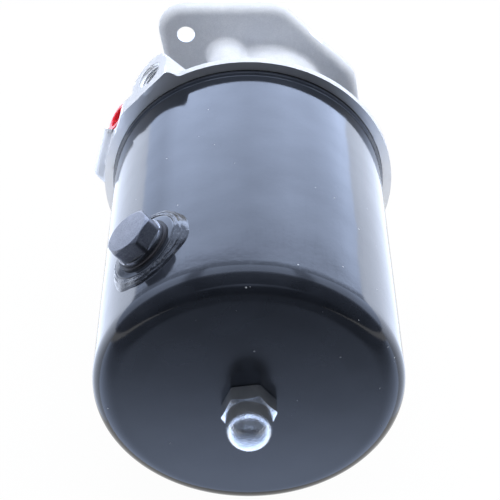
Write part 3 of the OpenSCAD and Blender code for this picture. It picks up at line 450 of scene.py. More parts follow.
BOLT_HOLE_R, BEARING_BORE_R, WAY_R = 4.2, 23.52, 3.25
OUTLET_BORE_R, RETURN_BORE_R, CUP_SEAT_R, RETURN_DEPTH = 6.6, 5.7, 7.45, 20
O_RING_GROOVE, SEAL_GROOVE = (30.7, 34.0), (57.73, 61.37)    # inner and outer radius
OUTLET_WAY_END = heading(OUTLET["angle"])[0] @ (VALVE_AT[0] - TANK_X, VALVE_AT[1])
return_turn = foot(RETURN["angle"], RETURN_FLAT - RETURN_DEPTH + WAY_R + 1)
return_turn += RETURN["shift"] * heading(RETURN["angle"])[1]
STRAIGHT_BORES = [    # along the shaft: place, radius and two depths from the mounting face
    ((0, 0), 24.5, 2.2, 4),                       # groove of the bearing's circlip
    ((0, 0), 20.02, 17, 28.5),                    # oil seal
    ((0, 0), 12, 27.5, 61.1),                     # free way of the shaft
    ((0, 0), 10.02, 60, SEAT_H + 1),              # bush of the shaft
    (IDLER_AT, 9.02, 61.1, SEAT_H + 1),           # bush of the idler
    *((at, 3.02, SEAT_H - 13, SEAT_H + 1) for at in screws_at),
    (VALVE_AT, 7, 18, SEAT_H + 1),                # spool of the valve
    (VALVE_AT, 7.72, SEAT_H - 6.1, SEAT_H + 1)]   # plug of the valve


def casting(x, y, h):
    """Distance to the finished casting: the raw one less its machined seats, flats and bores."""
    solid = raw_casting(x, y, h)
    out_way, along_way = heading(OUTLET["angle"])
    outwards = (x - TANK_X) * out_way[0] + y * out_way[1]
    sideways = (x - TANK_X) * along_way[0] + y * along_way[1]
    solid = hole(solid, SEAT_H - h, 0.45)
    past_flat = np.maximum(OUTLET_FLAT - outwards, np.abs(sideways - OUTLET["shift"]) - 23.2)
    solid = hole(solid, past_flat, 0.5)
    for side in (-1, 1):
        solid = hole(solid, drum(x, y, h, (side * EAR[0], side * EAR[1]), BOLT_HOLE_R, -1, FLANGE_T + 1), 0.4)
    gate = np.maximum(FLANGE_FLAT - 0.4 - (x + y) / math.sqrt(2), np.abs((x - y) / math.sqrt(2) + 6.2) - 4.6)
    solid = hole(solid, np.maximum(gate, h - 3.6))
    shaft_r, tank_r = np.hypot(x, y), np.hypot(x - TANK_X, y)
    solid = hole(solid, np.maximum(between(shaft_r, *O_RING_GROOVE), h - 2.4))
    solid = hole(solid, drum(x, y, h, (0, 0), BEARING_BORE_R, -PILOT_H - 1, 18), 0.5)
    for at, radius, low, high in STRAIGHT_BORES:
        solid = hole(solid, drum(x, y, h, at, radius, low, high))
    solid = hole(solid, side_drum(x, y, h, OUTLET, OUTLET_BORE_R, OUTLET_FLAT - 16, OUTLET_FLAT + 1), 0.3)
    solid = hole(solid, side_drum(x, y, h, OUTLET, WAY_R, OUTLET_WAY_END, OUTLET_FLAT - 15))
    solid = hole(solid, side_drum(x, y, h, RETURN, CUP_SEAT_R, RETURN_FLAT, RETURN_FLAT + 8.8))
    return_port = side_drum(x, y, h, RETURN, RETURN_BORE_R, RETURN_FLAT - RETURN_DEPTH, RETURN_FLAT + 1)
    solid = hole(solid, return_port, 0.3)
    solid = hole(solid, drum(x, y, h, return_turn, WAY_R, RETURN["height"], SEAT_H + 1))
    return hole(solid, np.maximum(between(tank_r, *SEAL_GROOVE), SEAT_H - 2 - h))


def bench_mesh(name, points, faces):
    """A mesh from bench places in millimetres: (x, y, h) becomes (x, -h, y) in metres."""
    points = np.asarray(points, float)
    placed = np.stack((points[:, 0], -points[:, 2], points[:, 1]), 1) * MM
    mesh = bpy.data.meshes.new(name)
    mesh.from_pydata(placed.tolist(), [], faces.tolist())
    return mesh


def contoured(solid, low, high, step):
    """The skin of a solid given by its distance function, as points and four-sided faces.

    The distance is worked out on a cubic lattice. Each lattice edge that the surface crosses
    gives a point and, from the distance's slope, a normal. Each cell takes the point that lies
    closest to the planes of its crossings, so that sharp edges stay sharp, and each crossed
    edge joins its four cells in a face.
    """
    axes = [np.arange(a, b + step, step) for a, b in zip(low, high)]
    shape = tuple(map(len, axes))
    value = solid(axes[0][:, None, None], axes[1][None, :, None], axes[2][None, None, :])
    value = np.broadcast_to(value, shape)
    cells, places, normals, quads = [], [], [], []
    stride = np.array([shape[1] * shape[2], shape[2], 1])
    for k in range(3):
        lower = [slice(None)] * 3
        upper = [slice(None)] * 3
        lower[k], upper[k] = slice(None, -1), slice(1, None)
        a, b = value[tuple(lower)], value[tuple(upper)]
        at = np.argwhere((a < 0) != (b < 0))
        a, b = a[tuple(at.T)], b[tuple(at.T)]
        start = np.stack([axes[j][at[:, j]] for j in range(3)], 1)
        near, far = np.zeros(len(at)), np.ones(len(at))
        for _ in range(9):
            middle = (near + far) / 2
            probe = start.copy()
            probe[:, k] += middle * step
            same = (solid(*probe.T) < 0) == (a < 0)
            near, far = np.where(same, middle, near), np.where(same, far, middle)
        probe = start.copy()
        probe[:, k] += (near + far) / 2 * step
        slope = np.stack([solid(*(probe + shift).T) - solid(*(probe - shift).T)
                          for shift in np.eye(3) * 0.02], 1)
        slope /= np.linalg.norm(slope, axis=1, keepdims=True) + 1e-12
        p, q = (k + 1) % 3, (k + 2) % 3
        corners = [at @ stride - i * stride[p] - j * stride[q] for i, j in ((0, 0), (1, 0), (1, 1), (0, 1))]
        cells += corners
        places += [probe] * 4
        normals += [slope] * 4
        quad = np.stack(corners, 1)
        quads.append(np.where((a < 0)[:, None], quad, quad[:, ::-1]))
    keys, cell = np.unique(np.concatenate(cells), return_inverse=True)
    place, normal = np.concatenate(places), np.concatenate(normals)

    def total(weights):
        """The sum of weights over each cell's crossings."""
        return np.bincount(cell, weights, len(keys))

    count = total(None)
    mean = np.stack([total(place[:, j]) for j in range(3)], 1) / count[:, None]
    square = np.stack([total(normal[:, i] * normal[:, j]) for i in range(3) for j in range(3)], 1)
    square = square.reshape(-1, 3, 3)
    reach = (normal * place).sum(1)
    right = np.stack([total(normal[:, j] * reach) for j in range(3)], 1)
    right -= np.einsum("nij,nj->ni", square, mean)
    point = mean + np.linalg.solve(square + 0.03 * np.eye(3), right[..., None])[..., 0]
    corner = np.stack(np.unravel_index(keys, shape), 1) * step + np.array([axis[0] for axis in axes])
    point = np.clip(point, corner, corner + step)
    return point, np.searchsorted(keys, np.concatenate(quads))


def piece_of(name, mesh, sharp=32):
    """A new piece from its mesh, smooth but for edges sharper than sharp degrees."""
    mesh.shade_smooth()
    mesh.set_sharp_from_angle(angle=math.radians(sharp))
    made = bpy.data.objects.new(name, mesh)
    bpy.context.scene.collection.objects.link(made)
    return made


points, faces = contoured(casting, (-81, -68, -9), (60, 68, 80), 1.03)
# The rim's edge is turned sharp, so its points are put on its circle
from_tank = np.hypot(points[:, 0] - TANK_X, points[:, 1])
rim_edge = (np.abs(from_tank - RING_R) < 0.45) & (points[:, 2] > SEAT_H - 0.5)
from_centre = points[rim_edge, :2] - (TANK_X, 0)
points[rim_edge, :2] = (TANK_X, 0) + from_centre * (RING_R / from_tank[rim_edge])[:, None]
points[rim_edge, 2] = SEAT_H
casting_mesh = bench_mesh("pump_casting", points, faces)
middles = points[faces].mean(1)
from_centre = middles[:, :2] - (TANK_X, 0)
on_flat = np.abs(from_centre @ heading(OUTLET["angle"])[0] - OUTLET_FLAT) < 0.1
# Painted highlight: the lug's skin fades to nearly half of the cut metal's look towards its near face, which
# lightens that face
lug_painted_highlight = 0.45 * np.clip((from_centre @ heading(LUG_ANGLE)[0] - 57) / 4, 0, 1)
lug_painted_highlight *= np.clip((middles[:, 2] - SEAT_H + 11) / 4, 0, 1)
machined = np.where(raw_casting(*middles.T) < -0.08, np.where(on_flat, 0.0, 1.0), lug_painted_highlight)
shares = casting_mesh.attributes.new("machined", "FLOAT", "FACE")
shares.data.foreach_set("value", machined.astype(np.float32))
pump_casting = piece_of("pump_casting", casting_mesh)
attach(pump_casting, "root")
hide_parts("pump_body")


# ---- Pump body: its finish -----------------------------------------------
# The casting's skin is pale and slightly rough, with the grain of a tumbled casting. Where the
# attribute machined is 1 it is bright cut metal with the fine rings of the tool. On the lug's near
# face its share is a painted highlight.
def finish(name, **sockets):
    """A material with one Principled shader; sockets are its plain values."""
    material = bpy.data.materials.new(name)
    tree, out = tree_of(material)
    shader = node(tree, "BsdfPrincipled", {key.replace("_", " "): value for key, value in sockets.items()})
    tree.links.new(shader.outputs[0], out.inputs[0])
    return material, tree, shader, node(tree, "TexCoord").outputs["Object"]


def coat(shader, colour, rough):
    """Gives the shader a colour and a roughness that vary."""
    tree = tree_by(shader)
    tree.links.new(colour, shader.inputs["Base Color"])
    tree.links.new(rough, shader.inputs["Roughness"])


def grain(place, per_metre, detail=2.0, rough=0.5):
    """Noise from 0 to 1 with so many cells per metre."""
    inputs = {"Vector": place, "Scale": per_metre, "Detail": detail, "Roughness": rough}
    return node(tree_by(place), "TexNoise", inputs).outputs["Fac"]


def shade(value, *stops):
    """Colours along a value; a stop is its place and a grey or a colour."""
    ramp = node(tree_by(value), "ValToRGB", {0: value})
    set_stops(ramp, [(at, tone if isinstance(tone, tuple) else (tone,) * 3) for at, tone in stops])
    return ramp.outputs[0]


def mixed(share, a, b):
    """Colour a, and b by share."""
    return node(tree_by(share, a, b), "Mix", {0: share, 6: a, 7: b}, data_type="RGBA").outputs[2]


def spread(share, low, high):
    """A number that goes from low to high as share goes from 0 to 1."""
    return node(tree_by(share), "MapRange", {"Value": share, "To Min": low, "To Max": high}).outputs[0]


def raised(shader, height, distance, normal=None):
    """Bump of that distance in metres under the shader."""
    tree = tree_by(shader)
    inputs = {"Height": height, "Distance": distance, "Strength": 1.0}
    if normal is not None:
        inputs["Normal"] = normal
    normal = node(tree, "Bump", inputs).outputs[0]
    tree.links.new(normal, shader.inputs["Normal"])
    return normal


cast_aluminium, tree, shader, place = finish("cast_aluminium", Specular_IOR_Level=0.2)
# cut is the machined share; on the lug it is a painted highlight
cut = node(tree, "Attribute", attribute_name="machined").outputs["Fac"]
fine, blotch = grain(place, 1500, 4, 0.65), grain(place, 75, 5, 0.6)
skin_colour = mixed(shade(blotch, (0.32, 0.0), (0.72, 1.0)),
                    (0.52, 0.545, 0.60, 1), (0.60, 0.62, 0.665, 1))
skin_colour = mixed(shade(fine, (0.35, 0.0), (0.7, 0.5)), skin_colour, (0.42, 0.445, 0.50, 1))
cut_colour = mixed(spread(blotch, 0.2, 0.6), (0.80, 0.81, 0.83, 1), (0.66, 0.68, 0.71, 1))
skin_rough, cut_rough = spread(fine, 0.48, 0.66), spread(blotch, 0.24, 0.40)
rough = node(tree, "Mix", {0: cut, 2: skin_rough, 3: cut_rough}, data_type="FLOAT").outputs[0]
coat(shader, mixed(cut, skin_colour, cut_colour), rough)
tree.links.new(spread(cut, 0.0, 0.82), shader.inputs["Metallic"])
# The tool's rings run round the tank's axis
axes = node(tree, "SeparateXYZ", {0: place}).outputs
beside = math_of("SUBTRACT", axes[0], TANK_X * MM)
ring = math_of("SQRT", math_of("ADD", math_of("MULTIPLY", beside, beside),
                                     math_of("MULTIPLY", axes[2], axes[2])))
shaken = math_of("ADD", ring, math_of("MULTIPLY", fine, 0.00012))
lay = math_of("SINE", math_of("MULTIPLY", shaken, 16000))
lumps = math_of("ADD", math_of("MULTIPLY", fine, 0.5), grain(place, 420, 3))
lay_height = math_of("MULTIPLY", lay, 0.035)
height = node(tree, "Mix", {0: cut, 2: lumps, 3: lay_height}, data_type="FLOAT").outputs[0]
raised(shader, height, 0.00016)
pump_casting.data.materials.append(cast_aluminium)


# ---- Outlet thread -------------------------------------------------------
# The outlet is tapped G 1/4. A thin threaded wall stands in the bored hole of the casting.
COLUMNS = 192    # points in each row round a turned piece


def turned(line, at=(0.0, 0.0), count=COLUMNS):
    """Rows of points round an axis at at: each has the line's radius and height there."""
    line = np.asarray(line, float)
    line = line[:, None] if line.ndim == 2 else line
    around = np.arange(count) * 2 * np.pi / count
    return np.stack(np.broadcast_arrays(at[0] + line[..., 0] * np.cos(around),
                                        at[1] + line[..., 0] * np.sin(around), line[..., 1] + 0 * around), -1)


def on_side(angle, height, rows, shift=0.0):
    """Rows worked out about Z, set so that Z points out of the tank's side and Y to the flange."""
    out_way, along_way = heading(angle)
    x, y, z = np.moveaxis(rows, -1, 0)
    flat = np.array([TANK_X, 0.0]) + z[..., None] * out_way + (x + shift)[..., None] * along_way
    return np.concatenate((flat, (height - y)[..., None]), -1)


def skin(name, rows, loop=False):
    """A closed skin over rows of points that each run round an axis.

    With loop the last row joins the first; otherwise the first and last rows lie on the axis
    and each becomes one point. The faces are turned outwards by the sign of the volume.
    """
    count = rows.shape[1]
    index = np.arange(rows.shape[0] * count).reshape(-1, count)
    index = np.concatenate((index, index[:1])) if loop else index
    here, there = index[:-1], index[1:]
    faces = np.stack((here, np.roll(here, -1, 1), np.roll(there, -1, 1), there), -1).reshape(-1, 4)
    mesh = bench_mesh(name, rows.reshape(-1, 3), faces)
    shell = bmesh.new()
    shell.from_mesh(mesh)
    bmesh.ops.remove_doubles(shell, verts=shell.verts, dist=1e-7)
    if shell.calc_volume(signed=True) < 0:
        bmesh.ops.reverse_faces(shell, faces=shell.faces)
    shell.to_mesh(mesh)
    shell.free()
    return mesh


def shaped(name, rows, sharp=32, loop=False):
    """A new piece with the skin over rows."""
    return piece_of(name, skin(name, rows, loop), sharp)


def thread(radius, depth, pitch, start, stop, count=COLUMNS, per_turn=8):
    """A thread's rows: the radius falls by depth as a soft V once for each pitch along the helix."""
    height = np.arange(start, stop, np.sign(stop - start) * pitch / per_turn)[:, None]
    turn = np.arange(count)[None] / count
    share = (height / pitch - turn) % 1
    v = np.clip(1.15 * np.abs(2 * share - 1) - 0.075, 0, 1)
    return np.stack(np.broadcast_arrays(radius - depth * (1 - v), height), -1)


def same_round(corners, count=COLUMNS):
    """Corners of a line, repeated for each column round the axis."""
    return np.repeat(np.asarray(corners, float)[:, None], count, 1)


bore = thread(6.5, 0.8, 1.337, OUTLET_FLAT - 0.9, OUTLET_FLAT - 15.6)
wall = np.concatenate((same_round([(6.58, OUTLET_FLAT - 15.8), (6.58, OUTLET_FLAT - 0.4)]), bore))
wall = on_side(OUTLET["angle"], OUTLET["height"], turned(wall), OUTLET["shift"])
outlet_thread = shaped("outlet_thread", wall, 40, loop=True)
thread_metal, tree, shader, place = finish("cut_aluminium_thread", Metallic=0.3)
stain = grain(place, 300, 4, 0.6)
coat(shader, shade(stain, (0.3, (0.62, 0.64, 0.68)), (0.7, (0.80, 0.82, 0.85))),
     spread(stain, 0.28, 0.46))
raised(shader, grain(place, 2600, 3), 0.00005)
outlet_thread.data.materials.append(thread_metal)
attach(outlet_thread, "root")


# ---- Oil tank ------------------------------------------------------------
# A deep-drawn steel shell, rolled over at its mouth and crowned at its closed end, painted gloss
# black. One hole in its side takes the filler boss, and the stud passes through its end.
TANK_END = 217.1
TANK_WALL = 1.6
WALL_END = 216.25        # where the side and the end would meet
MOUTH_R = 61.25
FILLER_ANGLE, FILLER_H = 40.0, 180.9


def end_crown(radius):
    """The tank's crowned end: the height falls as the radius squared, by 0.8 at 51.4."""
    return np.stack((radius, TANK_END - 0.8 * (radius / 51.4) ** 2), 1)


side_h = np.arange(84.0, 205, 3)
side = np.stack((np.full(len(side_h), TANK_R), side_h), 1)
mouth = [(TANK_R - TANK_WALL, SEAT_H), (MOUTH_R, SEAT_H), (MOUTH_R, SEAT_H + 1.8), (TANK_R, 81.2)]
outside = rounded(np.concatenate((mouth, side, [(TANK_R, WALL_END)], end_crown(np.linspace(50, 6.3, 12)))),
                  [0.8, 0.8, 1.2] + [0] * len(side) + [9.4] + [0] * 11, 14)
inside = np.concatenate((end_crown(np.linspace(6.3, 48, 8)) - (0, TANK_WALL),
                         [(TANK_R - TANK_WALL, WALL_END - TANK_WALL)], side[::-3] - (TANK_WALL, 0),
                         mouth[:1]))
inside = rounded(inside, [0] * 7 + [7.8] + [0] * len(side), 8)[:-1]
tank_shell = shaped("tank_shell", turned(np.concatenate((outside, inside)), (TANK_X, 0), 288), 35, loop=True)
drill_line = turned([(0, 70), (11.62, 70), (11.62, 45), (0, 45)])
drill = shaped("boss_drill", on_side(FILLER_ANGLE, FILLER_H, drill_line))
drilled = tank_shell.modifiers.new("boss hole", "BOOLEAN")
drilled.operation, drilled.object, drilled.solver = "DIFFERENCE", drill, "EXACT"
bpy.context.view_layer.update()
bored = bpy.data.meshes.new_from_object(tank_shell.evaluated_get(bpy.context.evaluated_depsgraph_get()))
tank_shell.modifiers.clear()
tank_shell.data = bored
bpy.data.objects.remove(drill)
bored.name = "tank_shell"
bored.shade_smooth()
bored.set_sharp_from_angle(angle=math.radians(35))

gloss_black, tree, shader, place = finish("gloss_black_paint", IOR=1.52, Metallic=0.0)
peel, wave = grain(place, 480, 2), grain(place, 26, 2, 0.4)
scuff = grain(node(tree, "Mapping", {0: place, 3: (1.0, 0.07, 1.0)}).outputs[0], 900, 4, 0.7)
cells = node(tree, "TexVoronoi", {"Vector": place, "Scale": 210.0})
dust = math_of("MULTIPLY", math_of("LESS_THAN", cells.outputs["Distance"], 0.075),
               math_of("GREATER_THAN", grain(place, 95, 1), 0.60))
paint_colour = mixed(shade(grain(place, 60, 4), (0.35, 0.0), (0.7, 1.0)),
                     (0.010, 0.012, 0.017, 1), (0.016, 0.019, 0.027, 1))
# The end face is handled more than the side, so it is a little rougher
along = node(tree, "SeparateXYZ", {0: place}).outputs[1]
on_end = spread(math_of("LESS_THAN", along, (0.5 - TANK_END) * MM), 0.0, 0.8)
sheen = mixed(on_end, shade(scuff, (0.52, 0.10), (0.68, 0.17)), (0.24, 0.24, 0.24, 1))
coat(shader, mixed(dust, paint_colour, (0.36, 0.38, 0.42, 1)),
     mixed(dust, sheen, (0.6, 0.6, 0.6, 1)))
waves = raised(shader, wave, 0.00045)
peeled = raised(shader, peel, 0.000012, waves)
raised(shader, dust, 0.00008, peeled)
tank_shell.data.materials.clear()
tank_shell.data.materials.append(gloss_black)
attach(tank_shell, "root")
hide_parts("reservoir_tank")


# ---- Filler boss ---------------------------------------------------------
# A turned steel ring whose underside is shaped to the tank, with its spigot in the tank's hole.
# Its bore is tapped for the filler plug, and it is painted with the tank.
def tank_face(radius):
    """Height of the tank's side under a circle about the boss: the root of R squared less x squared."""
    x = radius * np.cos(np.arange(COLUMNS) * 2 * np.pi / COLUMNS)
    return np.sqrt(TANK_R ** 2 - x * x)


BOSS_TOP, BOSS_R, SPIGOT_R, BOSS_FOOT = 61.85, 15.1, 11.6, 56.8
around = np.ones(COLUMNS)
boss_outer = rounded([np.stack((r * around, z * around), 1) for r, z in ((8.9, BOSS_TOP), (BOSS_R, BOSS_TOP))]
                     + [np.stack((BOSS_R * around, tank_face(BOSS_R)), 1)], [0.7], 5)
boss_line = np.concatenate((boss_outer, np.stack((SPIGOT_R * around, tank_face(SPIGOT_R)), 1)[None],
                            same_round([(SPIGOT_R, BOSS_FOOT), (8.8, BOSS_FOOT)]),
                            thread(8.7, 0.7, 1.5, 57.0, 61.3)))
filler_ring = shaped("filler_ring", on_side(FILLER_ANGLE, FILLER_H, turned(boss_line)), loop=True)
filler_ring.data.materials.append(gloss_black)
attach(filler_ring, "root")
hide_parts("filler_boss")


# ---- Weld round the boss -------------------------------------------------
# One hand-laid bead in the corner between boss and tank, under the same paint. It was laid in
# laps round the boss, and its width wanders.
WELD_COLUMNS, WELD_ROWS = 432, 27
turn = np.arange(WELD_COLUMNS) * 2 * np.pi / WELD_COLUMNS
bead_in = BOSS_R - 0.1
bead_w = 3.7 + 0.32 * np.sin(2 * turn + 0.6) + 0.24 * np.sin(5 * turn + 2.1) + 0.16 * np.sin(9 * turn + 4.0)
share = (0.5 - 0.5 * np.cos(np.linspace(0, np.pi, WELD_ROWS)))[:, None]    # 0 at the boss, 1 on the tank
bead_r = bead_in + bead_w * share
level = np.sqrt(TANK_R ** 2 - (bead_r * np.cos(turn)) ** 2)
rise = (BOSS_TOP - 0.25 - np.sqrt(TANK_R ** 2 - (BOSS_R * np.cos(turn)) ** 2)) * (1 - share) ** 1.15
crown_h = (0.95 + 0.2 * np.sin(4 * turn + 1) + 0.1 * np.sin(13 * turn)) * (4 * share * (1 - share)) ** 0.5
pauses = np.abs(np.sin(23 * turn + 1.1 * np.sin(3 * turn) - 2.0 * share)) ** 0.7
laps = 0.13 * np.sin(2 * np.pi * (2.6 * share + 0.22 * np.sin(2 * turn + 1) + 0.1 * np.sin(5 * turn)))
bead_top = level + rise * 0.9 + crown_h * (0.97 + 0.03 * pauses + laps) - 0.05
bead_top[-1] = level[-1] - 0.05
under_r = np.stack((bead_in + bead_w * 0.97, bead_in + 0 * bead_w))
under = np.sqrt((TANK_R - 0.25) ** 2 - (under_r * np.cos(turn)) ** 2)
bead_line = np.concatenate((np.stack((bead_r, bead_top), -1), np.stack((under_r, under), -1)))
bead_rows = on_side(FILLER_ANGLE, FILLER_H, turned(bead_line, count=WELD_COLUMNS))
weld_bead = shaped("torch_weld", bead_rows, 60, loop=True)
# The attribute lay runs along the bead and across it, so that the streaks follow the torch
across = np.repeat(np.concatenate((share[:, 0], (0.97, 0.0))), WELD_COLUMNS)
along_x, along_y = (np.tile(0.6 * way, len(bead_line)) for way in (np.cos(turn), np.sin(turn)))
lay = weld_bead.data.attributes.new("lay", "FLOAT_VECTOR", "POINT")
lay.data.foreach_set("vector", np.stack((along_x, along_y, 1.3 * across), 1).ravel())
painted_weld, tree, shader, place = finish("painted_weld", IOR=1.6, Metallic=0.0)
lay = node(tree, "Attribute", attribute_name="lay").outputs["Vector"]
streak, spatter = grain(lay, 4.6, 4, 0.55), grain(place, 420, 4, 0.6)
coat(shader, shade(spatter, (0.55, (0.012, 0.014, 0.02)), (0.80, (0.10, 0.11, 0.13))),
     spread(spatter, 0.05, 0.12))
flowed = raised(shader, streak, 0.00045)
raised(shader, spatter, 0.00010, flowed)
weld_bead.data.materials.append(painted_weld)
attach(weld_bead, "root")
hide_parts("weld_bead")


# ---- Filler plug ---------------------------------------------------------
# A forged hexagon plug with a thin flange over its sealing washer, blacked steel. Its end face
# and edges are brighter where spanners and boxes have rubbed it.
def hexagon(af, turn_by, worn=0.45):
    """Radius of a hexagon at each column: half the flats over the cosine of the angle from a
    flat's middle, with the last worn millimetres before a corner turned off in a parabola."""
    turn = np.arange(COLUMNS) * 2 * np.pi / COLUMNS - math.radians(turn_by)
    radius = af / 2 / np.cos(turn % (np.pi / 3) - np.pi / 6)
    start = af / math.sqrt(3) - worn
    excess = np.maximum(radius - start, 0)
    return np.where(excess > 0, start + excess - excess ** 2 / (2 * worn), radius)


def column(*pairs):
    """Corners of a line whose radii or heights may differ from column to column."""
    return [np.stack(np.broadcast_arrays(*pair, around)[:2], 1) for pair in pairs]


CHAMFER = math.tan(math.radians(30))
PLUG_SEAT, PLUG_TOP, PLUG_AF, SKIRT_R, PLUG_R = 62.75, 71.55, 19.0, 10.6, 7.96
flats, face_r = hexagon(PLUG_AF, -4), 0.48 * PLUG_AF
plug_line = rounded(column((0, PLUG_TOP), (face_r, PLUG_TOP), (flats, PLUG_TOP - (flats - face_r) * CHAMFER),
                           (flats, PLUG_SEAT + 2.1), (SKIRT_R, PLUG_SEAT + 2.0), (SKIRT_R, PLUG_SEAT),
                           (PLUG_R, PLUG_SEAT)), [0.5, 0.35, 0.6, 0.3, 0.2], 5)
plug_line = np.concatenate((plug_line, thread(PLUG_R, 0.8, 1.5, PLUG_SEAT - 1.5, PLUG_SEAT - 9.4),
                            same_round([(6.8, PLUG_SEAT - 10), (0, PLUG_SEAT - 10)])))
hex_plug = shaped("hex_plug", on_side(FILLER_ANGLE, FILLER_H, turned(plug_line)), 40)
blacked, tree, shader, place = finish("blacked_steel", Metallic=1.0)
forge, rub = grain(place, 1900, 3, 0.6), grain(place, 160, 5, 0.65)
eased = node(tree, "Bevel", {"Radius": 0.0007}, samples=6).outputs[0]
facing = node(tree, "NewGeometry").outputs["Normal"]
flatness = node(tree, "VectorMath", {0: eased, 1: facing}, operation="DOT_PRODUCT").outputs["Value"]
worn = shade(flatness, (0.90, 1.0), (0.985, 0.0))
black_colour = shade(forge, (0.3, (0.10, 0.10, 0.105)), (0.72, (0.21, 0.205, 0.21)))
black_colour = mixed(shade(rub, (0.45, 0.0), (0.75, 0.35)), black_colour, (0.30, 0.29, 0.30, 1))
coat(shader, mixed(worn, black_colour, (0.44, 0.45, 0.48, 1)), spread(forge, 0.30, 0.46))
raised(shader, math_of("ADD", forge, math_of("MULTIPLY", rub, 0.6)), 0.00009)
hex_plug.data.materials.append(blacked)
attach(hex_plug, "filler_cap")
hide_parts("filler_plug")


# ---- Cap nut -------------------------------------------------------------
# A domed M12 nut, cold formed and bright zinc plated: hexagon, short collar and half ball. Its
# blind thread, made as a plain bore, runs on the tank's stud.
NUT_AF, DOME_R, DOME_FOOT, BORE_R = 19.0, 8.95, TANK_END + 12.4, 6.02
flats, face_r, shoulder = hexagon(NUT_AF, 8.2), 0.48 * NUT_AF, TANK_END + 7.6
dome_turn = np.linspace(0, np.pi / 2, 22)[:-1]
dome_r, dome_h = DOME_R * np.sin(dome_turn) ** 0.86, DOME_FOOT + 8.7 * np.cos(dome_turn) ** 0.86
dome = same_round(np.stack((dome_r, dome_h), 1))
body = rounded(column((DOME_R, DOME_FOOT), (DOME_R, shoulder + 0.15), (9.25, shoulder),
                      (flats, shoulder - (flats - face_r) * CHAMFER), (flats, TANK_END + 0.35),
                      (flats - 0.5, TANK_END), (8.2, TANK_END), (8.2, TANK_END + 1.9),
                      (BORE_R, TANK_END + 1.9)), [0.15, 0.1, 0.25, 0.2, 0.2, 0.1, 0.1], 4)
nut_line = np.concatenate((dome, body, same_round([(BORE_R, TANK_END + 14.9), (0, TANK_END + 14.9)])))
domed_nut = shaped("domed_nut", turned(nut_line, (TANK_X, 0)), 40)
zinc, tree, shader, place = finish("bright_zinc", Metallic=0.93)
cloud, pit = grain(place, 260, 5, 0.6), grain(place, 1500, 3, 0.6)
coat(shader, shade(cloud, (0.3, (0.62, 0.67, 0.74)), (0.7, (0.86, 0.89, 0.93))),
     spread(cloud, 0.08, 0.24))
drawn = grain(node(tree, "Mapping", {0: place, 3: (1.0, 0.12, 1.0)}).outputs[0], 900, 3, 0.6)
raised(shader, math_of("ADD", pit, math_of("MULTIPLY", drawn, 1.6)), 0.00010)
domed_nut.data.materials.append(zinc)
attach(domed_nut, "root")
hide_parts("cap_nut")


# ---- Shipping plug -------------------------------------------------------
# A hollow cup of soft red polyethylene, pushed into the return port for shipping. Its thin walls
# let light through.
CUP_LOW, CUP_FLOOR, CUP_TOP = RETURN_FLAT - 10, RETURN_FLAT - 8.5, RETURN_FLAT + 1.4
STEM_R, HEAD_R = 5.66, 7.05
cup = rounded([(0, CUP_LOW), (5.3, CUP_LOW), (STEM_R, RETURN_FLAT - 6), (STEM_R, RETURN_FLAT),
               (HEAD_R, RETURN_FLAT), (HEAD_R, CUP_TOP), (4.75, CUP_TOP), (4.5, CUP_FLOOR), (0, CUP_FLOOR)],
              [0.8, 0.5, 0.15, 0.3, 0.5, 0.5, 0.8], 6)
cup_rows = on_side(RETURN["angle"], RETURN["height"], turned(cup), RETURN["shift"])
red_cup = shaped("red_cup", cup_rows, 50)
red_polythene, tree, shader, place = finish(
    "red_polythene", IOR=1.51, Transmission_Weight=0.25, Subsurface_Weight=0.6, Subsurface_Scale=0.004,
    Subsurface_Radius=(1.0, 0.25, 0.2))
flow = grain(place, 240, 3)
coat(shader, shade(flow, (0.3, (0.74, 0.012, 0.03)), (0.7, (0.86, 0.03, 0.055))),
     spread(flow, 0.26, 0.40))
raised(shader, grain(place, 900, 2), 0.00004)
red_cup.data.materials.append(red_polythene)
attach(red_cup, "shipping_cap")
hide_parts("transit_plug")


# ---- Drive shaft ---------------------------------------------------------
# Ground steel: a plain end with its keyway, a rolled thread for the nut, the bearing seat and
# the inner journal that carries the drive gear.
DRIVE_END = -33.5
SHAFT_END = DRIVE_END - 17
SHAFT_COLUMNS = 240
DRIVE_R, BEARING_R, COLLAR_R, INNER_R, INNER_END = 8.5, 9.98, 12, 7.5, 110.6


def flat_cut(rows, centre, half_width, floor, low, high):
    """Rows with a keyway sunk into them: where a point's side distance from the way's middle is
    under half_width and its height lies between low and high, it drops to the floor's distance."""
    x, y, h = np.moveaxis(rows, -1, 0)
    out_way = np.array([math.cos(centre), math.sin(centre)])
    forward, sideways = x * out_way[0] + y * out_way[1], -x * out_way[1] + y * out_way[0]
    sunk = (np.abs(sideways) < half_width) & (h > low) & (h < high) & (forward > floor)
    drop = np.where(sunk, forward - floor, 0)
    return np.stack((x - drop * out_way[0], y - drop * out_way[1], h), -1)


key_low, key_high = DRIVE_END + 6, DRIVE_END + 24
way_h = np.array([DRIVE_END + 0.8, key_low - 0.01, key_low + 0.01, key_high - 0.01, key_high + 0.01, -4.3])
tip = rounded([(0, SHAFT_END), (5.9, SHAFT_END), (7, SHAFT_END + 1.1), (7, SHAFT_END + 1.3)], [0.3, 0.2], 4)
rolled = thread(7.0, 0.92, 1.5, SHAFT_END + 1.3, DRIVE_END - 1.6, SHAFT_COLUMNS)
seat = rounded([(6.3, DRIVE_END - 1.2), (6.3, DRIVE_END), (DRIVE_R, DRIVE_END), (DRIVE_R, DRIVE_END + 0.8)],
               [0.3, 0.6], 4)
inner = rounded([(DRIVE_R, -4.3), (DRIVE_R, -3.5), (BEARING_R, -3.5), (BEARING_R, 18), (COLLAR_R, 18),
                 (COLLAR_R, 20), (BEARING_R, 20), (BEARING_R, 31.5), (INNER_R, 31.5), (INNER_R, INNER_END),
                 (0, INNER_END)], [0.4, 0.5, 0.3, 0.3, 0.3, 0.3, 0.5, 0.3, 0.6], 4)
tip, seat, plain, inner = (same_round(line, SHAFT_COLUMNS) for line in
                           (tip, seat, np.stack((np.full(6, DRIVE_R), way_h), 1), inner))
